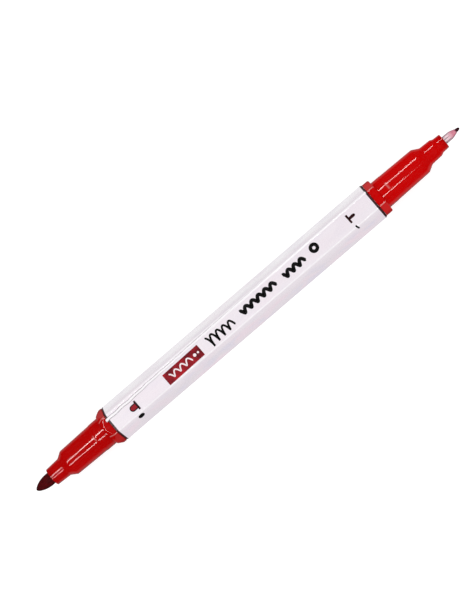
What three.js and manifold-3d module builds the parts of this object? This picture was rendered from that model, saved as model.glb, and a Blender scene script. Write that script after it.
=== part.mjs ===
// A twin-tip marker pen without its caps: a hexagonal barrel with a bullet nib at
// one end (-X) and a fine nib at the other (+X), lying on one of its flats.
// Millimetres, +Z up. The origin is under the middle of the pen, on the surface that
// it lies on. Every piece is made in an axial frame first: its z runs out of the
// barrel along the pen, and its y points up.
import * as THREE from "three";
import { mergeVertices } from "three/addons/utils/BufferGeometryUtils.js";
import Module from "manifold-3d";

const wasm = await Module();
wasm.setup();

// ---- Driving dimensions ----

const SLIDING_GAP = 0.05; // radial gap between pieces that pull apart
const WRAPPED_GAP = 0.03; // gap under a film that is wrapped round its core
const CUT_OVERRUN = 1; // how far a cutting tool runs past the piece that it cuts
const ROUND_SIDES = 48; // sides of the turned shapes that are handled
const SMALL_SIDES = 32; // sides of the nibs and of what holds them
const ARC_STEPS = 3;

// Barrel: a hexagonal tube with a round bore, ribbed where it grips the ink reservoir.
const BARREL_LENGTH = 82.4;
const BARREL_WALL = 0.78; // at the middle of a flat, where the tube is thinnest
const BARREL_BORE = 6.9;
const BARREL_CORNER = 0.52;
const MOUTH_CHAMFER = 0.3;
const RIB_COUNT = 6;
const RIB_HEIGHT = 0.25;
const RIB_WIDTH = 0.5;
const RIB_ROOT = 0.3; // how far a rib is sunk into the wall

// Label: a printed film, wrapped once round the barrel and butted beside a corner.
const LABEL_THICKNESS = 0.1;
const LABEL_END_MARGIN = 0.3; // bare barrel left at each end
const LABEL_SEAM_WIDTH = 0.12;
const LABEL_SEAM_FROM_CORNER = 0.7;

// Nib holders: each has a spigot inside the barrel, a hexagonal flange, a band that the
// cap seals on, a tapered grip, a shoulder and a neck. An inset is how far a stretch
// stands in from the one before it, on each side: the flange from the label, the band
// from the flange, the grip's end from the band. A wall is what stands round the nib.
const SPIGOT_LENGTH = 8.5;
const SPIGOT_LEAD = 0.4;
const SPIGOT_GROOVE_DEPTH = 0.1;
const SPIGOT_GROOVE_WIDTH = 0.6;
const SPIGOT_GROOVES = 2;
const SPIGOT_WALL = 0.8; // round the air space behind the nib's channel
const CHAMBER_CONE = 1.2; // length of the cone between the two
const CHANNEL_LENGTH = 9; // length of the close bore that holds a nib
const VENT_COUNT = 4;
const VENT_DEPTH = 0.3;
const VENT_WIDTH = 0.45;
const NOSE_ROUND = 0.3;

const BULLET_HOLDER = {
  flangeInset: 0,
  flangeLength: 2.2,
  flangeChamfer: 1.55, // length of the cone that turns the corners down
  flangeFrontOver: -0.19, // how far the face inside that cone stands out over a flat
  bandInset: 0.55,
  bandLength: 3.05,
  bandStep: 0.09,
  gripInset: 0.27,
  gripLength: 8.8,
  shoulderLength: 2.05,
  neckWall: 0.925, // at the shoulder
  neckLength: 3.64,
  noseWall: 0.725, // at the nib
};

const FINE_HOLDER = {
  flangeInset: 0.215,
  flangeLength: 1.95,
  flangeChamfer: 0.35,
  flangeFrontOver: 0.275,
  bandInset: 0.455,
  bandLength: 2.58,
  bandStep: 0.05,
  gripInset: 0.225,
  gripLength: 9.62,
  shoulderLength: 2.2,
  neckWall: 1.47,
  neckLength: 2.82,
  neckEndWall: 1.36,
  stepLength: 0.7, // cone between the neck and the slimmer nose
  noseLength: 1.93,
  noseRootWall: 1.01,
  noseWall: 0.91,
};

// Shares of a shoulder's length, from each of its ends.
const SHOULDER_MEET = 0.1; // where its slope would meet the grip or the neck
const SHOULDER_BEND = 0.25; // where its bend is over

// Nibs. The bullet nib is one rod of bonded fibre. The fine nib is a plastic sheath
// round a thin fibre core. Both reach back into the ink reservoir.
const TAIL_IN_RESERVOIR = 5;
const TAIL_POINT = 1.5; // length of the cone at a nib's inner end
const BULLET_DIAMETER = 3.15;
const BULLET_REACH = 4.96; // how far it stands out of its holder
const BULLET_OGIVE = 3.8; // length of its rounded point
const BULLET_TAIL_TIP = 1.6;
const SHEATH_DIAMETER = 1.98;
const SHEATH_STRAIGHT = 2.0; // straight length that stands out of the holder
const SHEATH_CONE = 1.55;
const SHEATH_MOUTH = 1.04;
const CORE_DIAMETER = 0.84;
const CORE_REACH = 1.15; // how far it stands out of the sheath
const CORE_POINT = 0.75; // length of its rounded point
const CORE_TAIL_TIP = 0.4;
const POINT_FULLNESS = 1.7; // how late a rounded point starts to narrow
const POINT_BLUNTNESS = 0.62; // how sharp its end is: 1 is a cone, 0.5 is round

// Ink reservoir: a soaked fibre rod in a film sleeve, with a pocket for each nib's tail.
const RESERVOIR_TO_SPIGOT = 1;
const RESERVOIR_WRAP = 0.12;
const RESERVOIR_RECESS = 0.4; // the fibre ends inside its sleeve
const POCKET_GAP = 0.1;

// ---- Sizes that follow ----

const BARREL_FLATS = BARREL_BORE + 2 * BARREL_WALL;
const LABEL_INNER_FLATS = BARREL_FLATS + 2 * WRAPPED_GAP;
const LABEL_FLATS = LABEL_INNER_FLATS + 2 * LABEL_THICKNESS;
const LABEL_CORNER = BARREL_CORNER + WRAPPED_GAP + LABEL_THICKNESS;
const LABEL_REACH = LABEL_FLATS / 2;
const DEEPEST_INSET = Math.min(0, BULLET_HOLDER.flangeInset, FINE_HOLDER.flangeInset);
const AXIS_HEIGHT = LABEL_REACH - DEEPEST_INSET;
const SPIGOT_DIAMETER = BARREL_BORE - 2 * SLIDING_GAP;
const CHAMBER_BORE = SPIGOT_DIAMETER - 2 * SPIGOT_WALL;
const RESERVOIR_START = SPIGOT_LENGTH + RESERVOIR_TO_SPIGOT;
const RESERVOIR_DIAMETER = BARREL_BORE - 2 * RIB_HEIGHT - 2 * SLIDING_GAP;
const RESERVOIR_LENGTH = BARREL_LENGTH - 2 * RESERVOIR_START;
const TAIL_END = -(RESERVOIR_START + TAIL_IN_RESERVOIR);

const heightOf = (holder) => {
  const grip = holder.flangeLength + holder.bandLength + holder.gripLength;
  const neck = grip + holder.shoulderLength + holder.neckLength;
  return neck + (holder.stepLength ?? 0) + (holder.noseLength ?? 0);
};
const BULLET_NOSE = heightOf(BULLET_HOLDER);
const FINE_NOSE = heightOf(FINE_HOLDER);
const BULLET_TIP = BULLET_NOSE + BULLET_REACH;
const SHEATH_TIP = FINE_NOSE + SHEATH_STRAIGHT + SHEATH_CONE;
const FINE_TIP = SHEATH_TIP + CORE_REACH;
const OVERALL_LENGTH = BULLET_TIP + BARREL_LENGTH + FINE_TIP;
const BULLET_END_X = BULLET_TIP - OVERALL_LENGTH / 2;
const FINE_END_X = BULLET_END_X + BARREL_LENGTH;

// ---- Solids ----

function toSolid(geometry) {
  geometry.deleteAttribute("normal");
  geometry.deleteAttribute("uv");
  const merged = mergeVertices(geometry);
  return new wasm.Manifold(
    new wasm.Mesh({
      numProp: 3,
      vertProperties: new Float32Array(merged.attributes.position.array),
      triVerts: new Uint32Array(merged.index.array),
    }),
  );
}

function toGeometry(solid) {
  const mesh = solid.getMesh();
  const geometry = new THREE.BufferGeometry();
  const positions = new THREE.BufferAttribute(mesh.vertProperties, mesh.numProp);
  geometry.setAttribute("position", positions);
  geometry.setIndex(new THREE.BufferAttribute(mesh.triVerts, 1));
  geometry.computeVertexNormals();
  return geometry;
}

// A solid of revolution about z. The outline is a path of (radius, height) that starts
// and ends on the axis, with its height rising along the outside.
function turned(outline, sides = ROUND_SIDES) {
  const geometry = new THREE.LatheGeometry(outline.getPoints(ARC_STEPS), sides);
  return toSolid(geometry.rotateX(Math.PI / 2));
}

// A round bar between two heights, with a radius at each.
function roundBar(startRadius, endRadius, start, end, sides = ROUND_SIDES) {
  const outline = new THREE.Path()
    .moveTo(0, start)
    .lineTo(startRadius, start)
    .lineTo(endRadius, end)
    .lineTo(0, end);
  return turned(outline, sides);
}

// A hexagon with rounded corners and a flat at its top and its bottom.
function hexagon(flats, corner) {
  const shape = new THREE.Shape();
  const toCentre = (flats / 2 - corner) / Math.cos(Math.PI / 6);
  for (let i = 0; i < 6; i++) {
    const angle = (i * Math.PI) / 3;
    const [x, y] = [toCentre * Math.cos(angle), toCentre * Math.sin(angle)];
    shape.absarc(x, y, corner, angle - Math.PI / 6, angle + Math.PI / 6);
  }
  return shape;
}

function extruded(shape, start, end) {
  const options = { depth: end - start, bevelEnabled: false, curveSegments: ARC_STEPS };
  const geometry = new THREE.ExtrudeGeometry(shape, options);
  return toSolid(geometry.translate(0, 0, start));
}

// A box that stands out from the axis at an angle, as a rib or as a slot's cutter.
function radialBar(inner, outer, width, start, end, angle) {
  const geometry = new THREE.BoxGeometry(outer - inner, width, end - start);
  geometry.translate((inner + outer) / 2, 0, (start + end) / 2);
  return toSolid(geometry.rotateZ(angle));
}

// ---- Barrel, label and reservoir: z = 0 is the bullet end, z = BARREL_LENGTH the fine end ----

function barrelSolid() {
  const bore = BARREL_BORE / 2;
  const past = BARREL_LENGTH + CUT_OVERRUN;
  let barrel = extruded(hexagon(BARREL_FLATS, BARREL_CORNER), 0, BARREL_LENGTH);
  barrel = barrel.subtract(roundBar(bore, bore, -CUT_OVERRUN, past));
  const wide = bore + MOUTH_CHAMFER;
  const flared = wide + CUT_OVERRUN;
  const inner = bore - CUT_OVERRUN;
  const reach = MOUTH_CHAMFER + CUT_OVERRUN;
  barrel = barrel.subtract(roundBar(flared, inner, -CUT_OVERRUN, reach));
  barrel = barrel.subtract(roundBar(inner, flared, BARREL_LENGTH - reach, past));
  for (let i = 0; i < RIB_COUNT; i++) {
    const angle = (i * 2 * Math.PI) / RIB_COUNT;
    const [top, root] = [bore - RIB_HEIGHT, bore + RIB_ROOT];
    const end = BARREL_LENGTH - RESERVOIR_START;
    barrel = barrel.add(radialBar(top, root, RIB_WIDTH, RESERVOIR_START, end, angle));
  }
  return barrel;
}

function labelSolid() {
  const [start, end] = [LABEL_END_MARGIN, BARREL_LENGTH - LABEL_END_MARGIN];
  const inner = hexagon(LABEL_INNER_FLATS, BARREL_CORNER + WRAPPED_GAP);
  const outer = extruded(hexagon(LABEL_FLATS, LABEL_CORNER), start, end);
  const sleeve = outer.subtract(extruded(inner, start - CUT_OVERRUN, end + CUT_OVERRUN));
  const cornerX = LABEL_FLATS / 2 / Math.sqrt(3);
  const seam = new THREE.BoxGeometry(LABEL_SEAM_WIDTH, LABEL_FLATS, 2 * BARREL_LENGTH);
  seam.translate(cornerX - LABEL_SEAM_FROM_CORNER, LABEL_FLATS / 2, BARREL_LENGTH / 2);
  return sleeve.subtract(toSolid(seam));
}

function reservoirWrapSolid() {
  const outer = RESERVOIR_DIAMETER / 2;
  const inner = outer - RESERVOIR_WRAP;
  const end = RESERVOIR_START + RESERVOIR_LENGTH;
  const cutStart = RESERVOIR_START - CUT_OVERRUN;
  const cutter = roundBar(inner, inner, cutStart, end + CUT_OVERRUN);
  return roundBar(outer, outer, RESERVOIR_START, end).subtract(cutter);
}

function reservoirCoreSolid() {
  const radius = RESERVOIR_DIAMETER / 2 - RESERVOIR_WRAP - WRAPPED_GAP;
  const start = RESERVOIR_START + RESERVOIR_RECESS;
  const end = RESERVOIR_START + RESERVOIR_LENGTH - RESERVOIR_RECESS;
  const depth = RESERVOIR_START + TAIL_IN_RESERVOIR + POCKET_GAP;
  const bulletPocket = BULLET_DIAMETER / 2 + POCKET_GAP;
  const finePocket = CORE_DIAMETER / 2 + POCKET_GAP;
  const core = roundBar(radius, radius, start, end);
  const bulletCut = roundBar(bulletPocket, bulletPocket, 0, depth, SMALL_SIDES);
  const fineStart = BARREL_LENGTH - depth;
  const fineCut = roundBar(finePocket, finePocket, fineStart, BARREL_LENGTH, SMALL_SIDES);
  return core.subtract(bulletCut).subtract(fineCut);
}

// ---- Nib holders: z = 0 is the barrel's end face, and z rises towards the nib ----

function flangeSolid(holder) {
  const { flangeInset, flangeLength, flangeChamfer, flangeFrontOver } = holder;
  const flat = LABEL_REACH - flangeInset;
  const corner = flat / Math.cos(Math.PI / 6);
  const outline = new THREE.Path()
    .moveTo(0, 0)
    .lineTo(corner, 0)
    .lineTo(corner, flangeLength - flangeChamfer)
    .lineTo(flat + flangeFrontOver, flangeLength)
    .lineTo(0, flangeLength);
  const hex = extruded(hexagon(2 * flat, LABEL_CORNER), 0, flangeLength);
  return hex.intersect(turned(outline));
}

const bandRadius = (holder) => LABEL_REACH - holder.flangeInset - holder.bandInset;

// The outside from the spigot's inner end up to the grip, as a path that the caller
// carries on to the nose.
function holderOutline(holder) {
  const spigot = SPIGOT_DIAMETER / 2;
  const band = bandRadius(holder);
  const bandEnd = holder.flangeLength + holder.bandLength;
  const outline = new THREE.Path()
    .moveTo(0, -SPIGOT_LENGTH)
    .lineTo(spigot - SPIGOT_LEAD, -SPIGOT_LENGTH)
    .lineTo(spigot, -SPIGOT_LENGTH + SPIGOT_LEAD);
  const pitch = SPIGOT_LENGTH / (SPIGOT_GROOVES + 1);
  for (let i = 1; i <= SPIGOT_GROOVES; i++) {
    const middle = -SPIGOT_LENGTH + i * pitch;
    const floor = spigot - SPIGOT_GROOVE_DEPTH;
    outline
      .lineTo(spigot, middle - SPIGOT_GROOVE_WIDTH / 2)
      .lineTo(floor, middle - SPIGOT_GROOVE_WIDTH / 4)
      .lineTo(floor, middle + SPIGOT_GROOVE_WIDTH / 4)
      .lineTo(spigot, middle + SPIGOT_GROOVE_WIDTH / 2);
  }
  return outline
    .lineTo(spigot, 0)
    .lineTo(band, 0)
    .lineTo(band, bandEnd - holder.bandStep)
    .lineTo(band - holder.bandStep, bandEnd);
}

// Tapers the grip, bends it over into the shoulder's slope and hollows that into the neck.
function addShoulder(outline, holder, neck) {
  const grip = bandRadius(holder) - holder.gripInset;
  const start = holder.flangeLength + holder.bandLength + holder.gripLength;
  const length = holder.shoulderLength;
  const slopeAt = (share) => {
    const down = (share - SHOULDER_MEET) / (1 - 2 * SHOULDER_MEET);
    return [grip + (neck - grip) * down, start + share * length];
  };
  outline
    .lineTo(grip, start)
    .quadraticCurveTo(...slopeAt(SHOULDER_MEET), ...slopeAt(SHOULDER_BEND))
    .lineTo(...slopeAt(1 - SHOULDER_BEND))
    .quadraticCurveTo(...slopeAt(1 - SHOULDER_MEET), neck, start + length);
}

// Rounds the nose's edge and closes the path on the axis.
function addNose(outline, radius, height) {
  outline
    .lineTo(radius, height - NOSE_ROUND)
    .quadraticCurveTo(radius, height, radius - NOSE_ROUND, height)
    .lineTo(0, height);
}

// The nib's channel with its vent grooves, and the air chamber behind it.
function channelSolid(nibDiameter, nose) {
  const bore = nibDiameter / 2 + SLIDING_GAP;
  const chamber = CHAMBER_BORE / 2;
  const channelStart = nose - CHANNEL_LENGTH;
  const chamberEnd = channelStart - CHAMBER_CONE;
  const outline = new THREE.Path()
    .moveTo(0, -SPIGOT_LENGTH - CUT_OVERRUN)
    .lineTo(chamber, -SPIGOT_LENGTH - CUT_OVERRUN)
    .lineTo(chamber, chamberEnd)
    .lineTo(bore, channelStart)
    .lineTo(bore, nose + CUT_OVERRUN)
    .lineTo(0, nose + CUT_OVERRUN);
  let channel = turned(outline, SMALL_SIDES);
  for (let i = 0; i < VENT_COUNT; i++) {
    const angle = ((i + 0.5) * 2 * Math.PI) / VENT_COUNT;
    const reach = bore + VENT_DEPTH;
    const end = nose + CUT_OVERRUN;
    channel = channel.add(radialBar(0, reach, VENT_WIDTH, chamberEnd, end, angle));
  }
  return channel;
}

function bulletHolderSolid() {
  const nib = BULLET_DIAMETER / 2;
  const outline = holderOutline(BULLET_HOLDER);
  addShoulder(outline, BULLET_HOLDER, nib + BULLET_HOLDER.neckWall);
  addNose(outline, nib + BULLET_HOLDER.noseWall, BULLET_NOSE);
  const channel = channelSolid(BULLET_DIAMETER, BULLET_NOSE);
  return turned(outline).add(flangeSolid(BULLET_HOLDER)).subtract(channel);
}

function fineHolderSolid() {
  const nib = SHEATH_DIAMETER / 2;
  const outline = holderOutline(FINE_HOLDER);
  addShoulder(outline, FINE_HOLDER, nib + FINE_HOLDER.neckWall);
  const noseStart = FINE_NOSE - FINE_HOLDER.noseLength;
  outline
    .lineTo(nib + FINE_HOLDER.neckEndWall, noseStart - FINE_HOLDER.stepLength)
    .lineTo(nib + FINE_HOLDER.noseRootWall, noseStart);
  addNose(outline, nib + FINE_HOLDER.noseWall, FINE_NOSE);
  const channel = channelSolid(SHEATH_DIAMETER, FINE_NOSE);
  return turned(outline).add(flangeSolid(FINE_HOLDER)).subtract(channel);
}

// ---- Nibs, in the same frame as their holders ----

// Carries an outline from a rod's full radius to a rounded point at a height.
function addOgive(outline, radius, length, tip, steps) {
  for (let i = 0; i <= steps; i++) {
    const along = i / steps;
    const share = (1 - along ** POINT_FULLNESS) ** POINT_BLUNTNESS;
    outline.lineTo(radius * share, tip - length * (1 - along));
  }
}

// A nib's rod from its tail's cone up to the full radius.
function tailOutline(radius, tailTip) {
  return new THREE.Path()
    .moveTo(0, TAIL_END)
    .lineTo(tailTip / 2, TAIL_END)
    .lineTo(radius, TAIL_END + TAIL_POINT);
}

function bulletNibSolid() {
  const radius = BULLET_DIAMETER / 2;
  const outline = tailOutline(radius, BULLET_TAIL_TIP);
  addOgive(outline, radius, BULLET_OGIVE, BULLET_TIP, 12);
  return turned(outline, SMALL_SIDES);
}

function fineCoreSolid() {
  const radius = CORE_DIAMETER / 2;
  const outline = tailOutline(radius, CORE_TAIL_TIP);
  addOgive(outline, radius, CORE_POINT, FINE_TIP, 8);
  return turned(outline, SMALL_SIDES);
}

function fineSheathSolid() {
  const radius = SHEATH_DIAMETER / 2;
  const outline = new THREE.Path()
    .moveTo(0, -SPIGOT_LENGTH)
    .lineTo(radius, -SPIGOT_LENGTH)
    .lineTo(radius, SHEATH_TIP - SHEATH_CONE)
    .lineTo(SHEATH_MOUTH / 2, SHEATH_TIP)
    .lineTo(0, SHEATH_TIP);
  const bore = CORE_DIAMETER / 2 + WRAPPED_GAP;
  const [start, end] = [-SPIGOT_LENGTH - CUT_OVERRUN, SHEATH_TIP + CUT_OVERRUN];
  return turned(outline, SMALL_SIDES).subtract(roundBar(bore, bore, start, end, SMALL_SIDES));
}

// ---- Assembly ----

const paint = (color, roughness) =>
  new THREE.MeshStandardMaterial({ color, roughness, metalness: 0 });
const WHITE_PLASTIC = paint(0xf1eef1, 0.35);
const PEARL_FILM = paint(0xf1e9f1, 0.25);
const RED_PLASTIC = paint(0xc80c0c, 0.2);
const SOAKED_FELT = paint(0x560b0c, 0.7);
const CLEAR_PLASTIC = paint(0xf2b4c2, 0.25);
const INKED_CORE = paint(0x38141a, 0.6);
const INK_FIBRE = paint(0xa01818, 0.9);
const SLEEVE_FILM = paint(0xf4e4e4, 0.3);

function piece(name, solid, material) {
  const mesh = new THREE.Mesh(toGeometry(solid), material);
  mesh.name = name;
  return mesh;
}

// A group whose z runs along the pen in the given direction, with y up.
function axialGroup(x, direction, ...pieces) {
  const group = new THREE.Group();
  const basis = new THREE.Matrix4().makeBasis(
    new THREE.Vector3(0, direction, 0),
    new THREE.Vector3(0, 0, 1),
    new THREE.Vector3(direction, 0, 0),
  );
  group.setRotationFromMatrix(basis);
  group.position.set(x, 0, AXIS_HEIGHT);
  group.add(...pieces);
  return group;
}

const marker = new THREE.Group();
marker.add(
  axialGroup(
    BULLET_END_X,
    1,
    piece("barrel", barrelSolid(), WHITE_PLASTIC),
    piece("label_film", labelSolid(), PEARL_FILM),
    piece("reservoir_sleeve", reservoirWrapSolid(), SLEEVE_FILM),
    piece("reservoir_fibre", reservoirCoreSolid(), INK_FIBRE),
  ),
  axialGroup(
    BULLET_END_X,
    -1,
    piece("bullet_nib_holder", bulletHolderSolid(), RED_PLASTIC),
    piece("bullet_nib", bulletNibSolid(), SOAKED_FELT),
  ),
  axialGroup(
    FINE_END_X,
    1,
    piece("fine_nib_holder", fineHolderSolid(), RED_PLASTIC),
    piece("fine_nib_sheath", fineSheathSolid(), CLEAR_PLASTIC),
    piece("fine_nib_core", fineCoreSolid(), INKED_CORE),
  ),
);

export default marker;
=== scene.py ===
"""A twin-tip marker pen without its caps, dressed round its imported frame.

The pen lies along X on a pale floor, the bullet nib at -X and the fine nib at +X. Lengths
are in metres. Every piece is a stack of rings round the pen's axis or a thin print on its
film, rides on a body of the frame and stands for the node that it refines.
"""

import logging
import math
from dataclasses import dataclass, field
from enum import Enum
from typing import Callable

import bpy
import numpy as np
from mathutils import Matrix, Vector


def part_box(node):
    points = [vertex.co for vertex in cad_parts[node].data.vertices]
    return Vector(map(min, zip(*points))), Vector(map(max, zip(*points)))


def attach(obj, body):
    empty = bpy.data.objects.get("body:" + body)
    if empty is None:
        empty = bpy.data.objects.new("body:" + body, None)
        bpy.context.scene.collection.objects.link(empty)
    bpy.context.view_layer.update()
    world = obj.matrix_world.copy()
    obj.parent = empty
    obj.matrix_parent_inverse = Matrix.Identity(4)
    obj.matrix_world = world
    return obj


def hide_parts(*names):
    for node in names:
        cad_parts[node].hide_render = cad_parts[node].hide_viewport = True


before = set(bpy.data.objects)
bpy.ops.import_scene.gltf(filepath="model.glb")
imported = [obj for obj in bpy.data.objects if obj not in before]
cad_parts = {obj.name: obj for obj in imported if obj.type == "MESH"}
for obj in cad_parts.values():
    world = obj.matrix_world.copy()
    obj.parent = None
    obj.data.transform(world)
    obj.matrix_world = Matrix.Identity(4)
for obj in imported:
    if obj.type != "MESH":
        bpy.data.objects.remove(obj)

LOG = logging.getLogger("marker")
MM = 0.001
SMOOTH_BELOW = math.radians(38)
ARC_STEPS = 6
CORNER_ANGLES = (0.0, 0.7, 1.4, 2.1, 2.8, 3.6, 5.0, 7.0, 9.5, 12.5, 16.0, 20.0, 25.0)
TURN = 2 * math.pi
QUARTER = math.pi / 2
SIXTH = math.pi / 3

Colour = tuple[float, float, float]
Pair = tuple[float, float]
Span = tuple[float, float, float, float]
Faces = list[tuple[int, ...]]
Widths = Callable[[np.ndarray], np.ndarray]
Rings = Callable[[float, float], np.ndarray]
Piece = bpy.types.Object
Socket = bpy.types.NodeSocket
Value = Socket | float | Colour
Inputs = dict[str | int, Value]


class End(Enum):
    """An end of the pen, whose value is the direction along X that it points in."""

    BULLET = -1
    FINE = 1


# ---- Set-out ----


@dataclass(frozen=True)
class SetOut:
    """Places that every piece is set out from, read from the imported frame.

    Attributes:
        axis_z: Height of the pen's axis.
        ends: The x of the barrel's two end faces.
        film_reach: Distance from the axis to the film's outside, at a flat.
    """

    axis_z: float
    ends: dict[End, float]
    film_reach: float

    @classmethod
    def from_frame(cls) -> "SetOut":
        """Reads the barrel's and the film's boxes.

        Returns:
            The places.
        """
        low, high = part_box("barrel")
        film_low, film_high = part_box("label_film")
        axis_z = (film_low.z + film_high.z) / 2
        return cls(axis_z, {End.BULLET: low.x, End.FINE: high.x}, film_high.z - axis_z)

    @property
    def middle_x(self) -> float:
        """The x of the barrel's middle."""
        return (self.ends[End.BULLET] + self.ends[End.FINE]) / 2

    def outward(self, node: str, end: End) -> float:
        """How far a node reaches beyond the barrel's face at an end."""
        low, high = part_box(node)
        return abs((high.x if end is End.FINE else low.x) - self.ends[end])


# ---- Shapes ----


def even_angles(turns: int) -> np.ndarray:
    """Angles of one turn, evenly apart."""
    return np.linspace(0, TURN, turns, endpoint=False)


def off_nearest(angles: np.ndarray, apart: float) -> np.ndarray:
    """How far each angle is from the nearest whole number of steps."""
    return np.abs((angles + apart / 2) % apart - apart / 2)


def nearness(angles: np.ndarray, apart: float, width: float) -> np.ndarray:
    """1 at each whole number of steps, falling to 0 from a width away."""
    return np.clip(1.0 - off_nearest(angles, apart) / width, 0.0, 1.0)


def quarter_round(share: np.ndarray | float) -> np.ndarray | float:
    """Height of a quarter circle over a share of its base, held at 1 beyond it."""
    return np.sqrt(1 - (1 - np.clip(share, 0.0, 1.0)) ** 2)


def soft_least(a: np.ndarray, b: float, blend: float) -> np.ndarray:
    """The smaller of two lengths, with the change from one to the other rounded over."""
    mix = np.clip(0.5 + 0.5 * (b - a) / blend, 0.0, 1.0)
    return b * (1 - mix) + a * mix - blend * mix * (1 - mix)


def spread_angles(half_widths: tuple[float, ...] = ()) -> np.ndarray:
    """Angles for a ring, closer together round the hexagon's corners.

    Args:
        half_widths: Further angles to place on both sides of each corner.

    Returns:
        The sorted angles of one turn.
    """
    near = [math.radians(a) for a in CORNER_ANGLES] + list(half_widths)
    found = {(i + 0.5) * SIXTH for i in range(6)}
    found |= {i * SIXTH + s * a for i in range(6) for a in near for s in (-1, 1)}
    return np.array(sorted({round(a % TURN, 7) for a in found}))


@dataclass(frozen=True)
class Hexagon:
    """A hexagon with rounded corners and a flat at its top, round the pen's axis."""

    reach: float
    corner: float

    def radius(self, angles: np.ndarray) -> np.ndarray:
        """The outline in polar form.

        Args:
            angles: Angles from +Y towards +Z.

        Returns:
            The distance from the axis to the outline at each angle.
        """
        half = SIXTH / 2
        off = off_nearest(angles, SIXTH)
        centre = (self.reach - self.corner) / math.cos(half)
        tangent = math.atan2(self.corner * math.sin(half), centre + self.corner * math.cos(half))
        flat = self.reach / np.cos(half - off)
        inside = np.maximum(self.corner**2 - (centre * np.sin(off)) ** 2, 0.0)
        return np.where(off > tangent, flat, centre * np.cos(off) + np.sqrt(inside))

    def walk(self, distance: float) -> tuple[Vector, Vector]:
        """A place on the outline, found by walking from the top flat's middle.

        Args:
            distance: How far to walk, towards +Y where it is positive.

        Returns:
            The place from the axis and the way out of the surface, in the YZ plane.
        """
        half_flat = (self.reach - self.corner) * math.tan(SIXTH / 2)
        side = 2 * half_flat + self.corner * SIXTH
        facet = math.floor((distance + side / 2) / side)
        left = distance - facet * side
        turn = QUARTER - facet * SIXTH
        past = max(abs(left) - half_flat, 0.0) / self.corner
        along = math.copysign(min(abs(left), half_flat), left)
        lean = turn - math.copysign(past, left)
        normal = Vector((0.0, math.cos(lean), math.sin(lean)))
        facing = Vector((0.0, math.cos(turn), math.sin(turn)))
        across = Vector((0.0, math.sin(turn), -math.cos(turn)))
        centre = facing * (self.reach - self.corner) + across * along
        return centre + normal * self.corner, normal


@dataclass(frozen=True)
class Stop:
    """A corner of a turned outline: its height, its radius, and how far back it is rounded."""

    height: float
    radius: float
    rounding: float = 0.0

    @property
    def place(self) -> np.ndarray:
        """Its height and radius."""
        return np.array([self.height, self.radius])


def rounded(stops: list[Stop]) -> list[Pair]:
    """Rounds an outline's corners.

    Args:
        stops: The outline's corners in order.

    Returns:
        (height, radius) pairs along the rounded outline.
    """
    points = [(stops[0].height, stops[0].radius)]
    for before, stop, after in zip(stops, stops[1:], stops[2:]):
        here = stop.place
        back, on = before.place - here, after.place - here
        lengths = [float(np.linalg.norm(back)), float(np.linalg.norm(on))]
        reach = min(stop.rounding, 0.5 * lengths[0], 0.5 * lengths[1])
        if reach <= 0:
            points.append((stop.height, stop.radius))
            continue
        start = here + back / lengths[0] * reach
        end = here + on / lengths[1] * reach
        for t in np.linspace(0, 1, ARC_STEPS + 1):
            spot = (1 - t) ** 2 * start + 2 * t * (1 - t) * here + t**2 * end
            points.append((float(spot[0]), float(spot[1])))
    points.append((stops[-1].height, stops[-1].radius))
    return points


# ---- Meshes ----


def add_mark(mesh: bpy.types.Mesh, name: str, values: np.ndarray) -> None:
    """Gives each vertex a value that a material can read."""
    layer = mesh.attributes.new(name, "FLOAT", "POINT")
    layer.data.foreach_set("value", values.astype(np.float32).ravel())


def loft_faces(rows: int, count: int, joined: bool) -> Faces:
    """Faces from each loop of vertices to the next.

    Args:
        rows: How many loops there are.
        count: How many vertices each loop has.
        joined: True joins the last loop to the first.

    Returns:
        The faces, all wound the same way.
    """
    faces: Faces = []
    for i in range(rows if joined else rows - 1):
        low, high = i * count, (i + 1) % rows * count
        for j in range(count):
            k = (j + 1) % count
            faces.append((low + j, low + k, high + k, high + j))
    return faces


def mesh_object(name: str, points: np.ndarray, faces: Faces, marks: dict[str, np.ndarray]) -> Piece:
    """Makes a smooth-shaded object whose faces point out.

    Args:
        name: The piece's name.
        points: Its vertices, one row each.
        faces: Its faces, all wound the same way.
        marks: Values for each vertex that its material reads, by name.

    Returns:
        The new object, linked to the scene.
    """
    corners = [(face[0], a, b) for face in faces for a, b in zip(face[1:], face[2:])]
    first, second, third = points[np.array(corners)].transpose(1, 0, 2)
    if (first * np.cross(second, third)).sum() < 0:
        faces = [face[::-1] for face in faces]
    mesh = bpy.data.meshes.new(name)
    mesh.from_pydata(points.tolist(), [], faces)
    for mark, values in marks.items():
        add_mark(mesh, mark, values)
    mesh.polygons.foreach_set("use_smooth", [True] * len(mesh.polygons))
    mesh.set_sharp_from_angle(angle=SMOOTH_BELOW)
    mesh.update()
    piece = bpy.data.objects.new(name, mesh)
    bpy.context.scene.collection.objects.link(piece)
    return piece


def plate(
    name: str, top: np.ndarray, foot: np.ndarray, joined: bool, marks: dict[str, np.ndarray]
) -> Piece:
    """Makes a thin closed plate between two grids of places.

    Args:
        name: The piece's name.
        top: The upper places, with shape (rows, columns, 3).
        foot: The places under them.
        joined: True joins the last row to the first, as for a ring.
        marks: Values for the upper and then the lower places of each row, by name.

    Returns:
        The plate.
    """
    rows, columns = top.shape[:2]
    faces = loft_faces(rows, 2 * columns, joined)
    last = (rows - 1) * 2 * columns
    for j in range(0 if joined else columns - 1):
        k = 2 * columns - 1 - j
        faces.append((j, k, k - 1, j + 1))
        faces.append((last + j, last + j + 1, last + k - 1, last + k))
    points = np.concatenate([top, foot[:, ::-1]], axis=1).reshape(-1, 3)
    return mesh_object(name, points, faces, marks)


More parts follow.
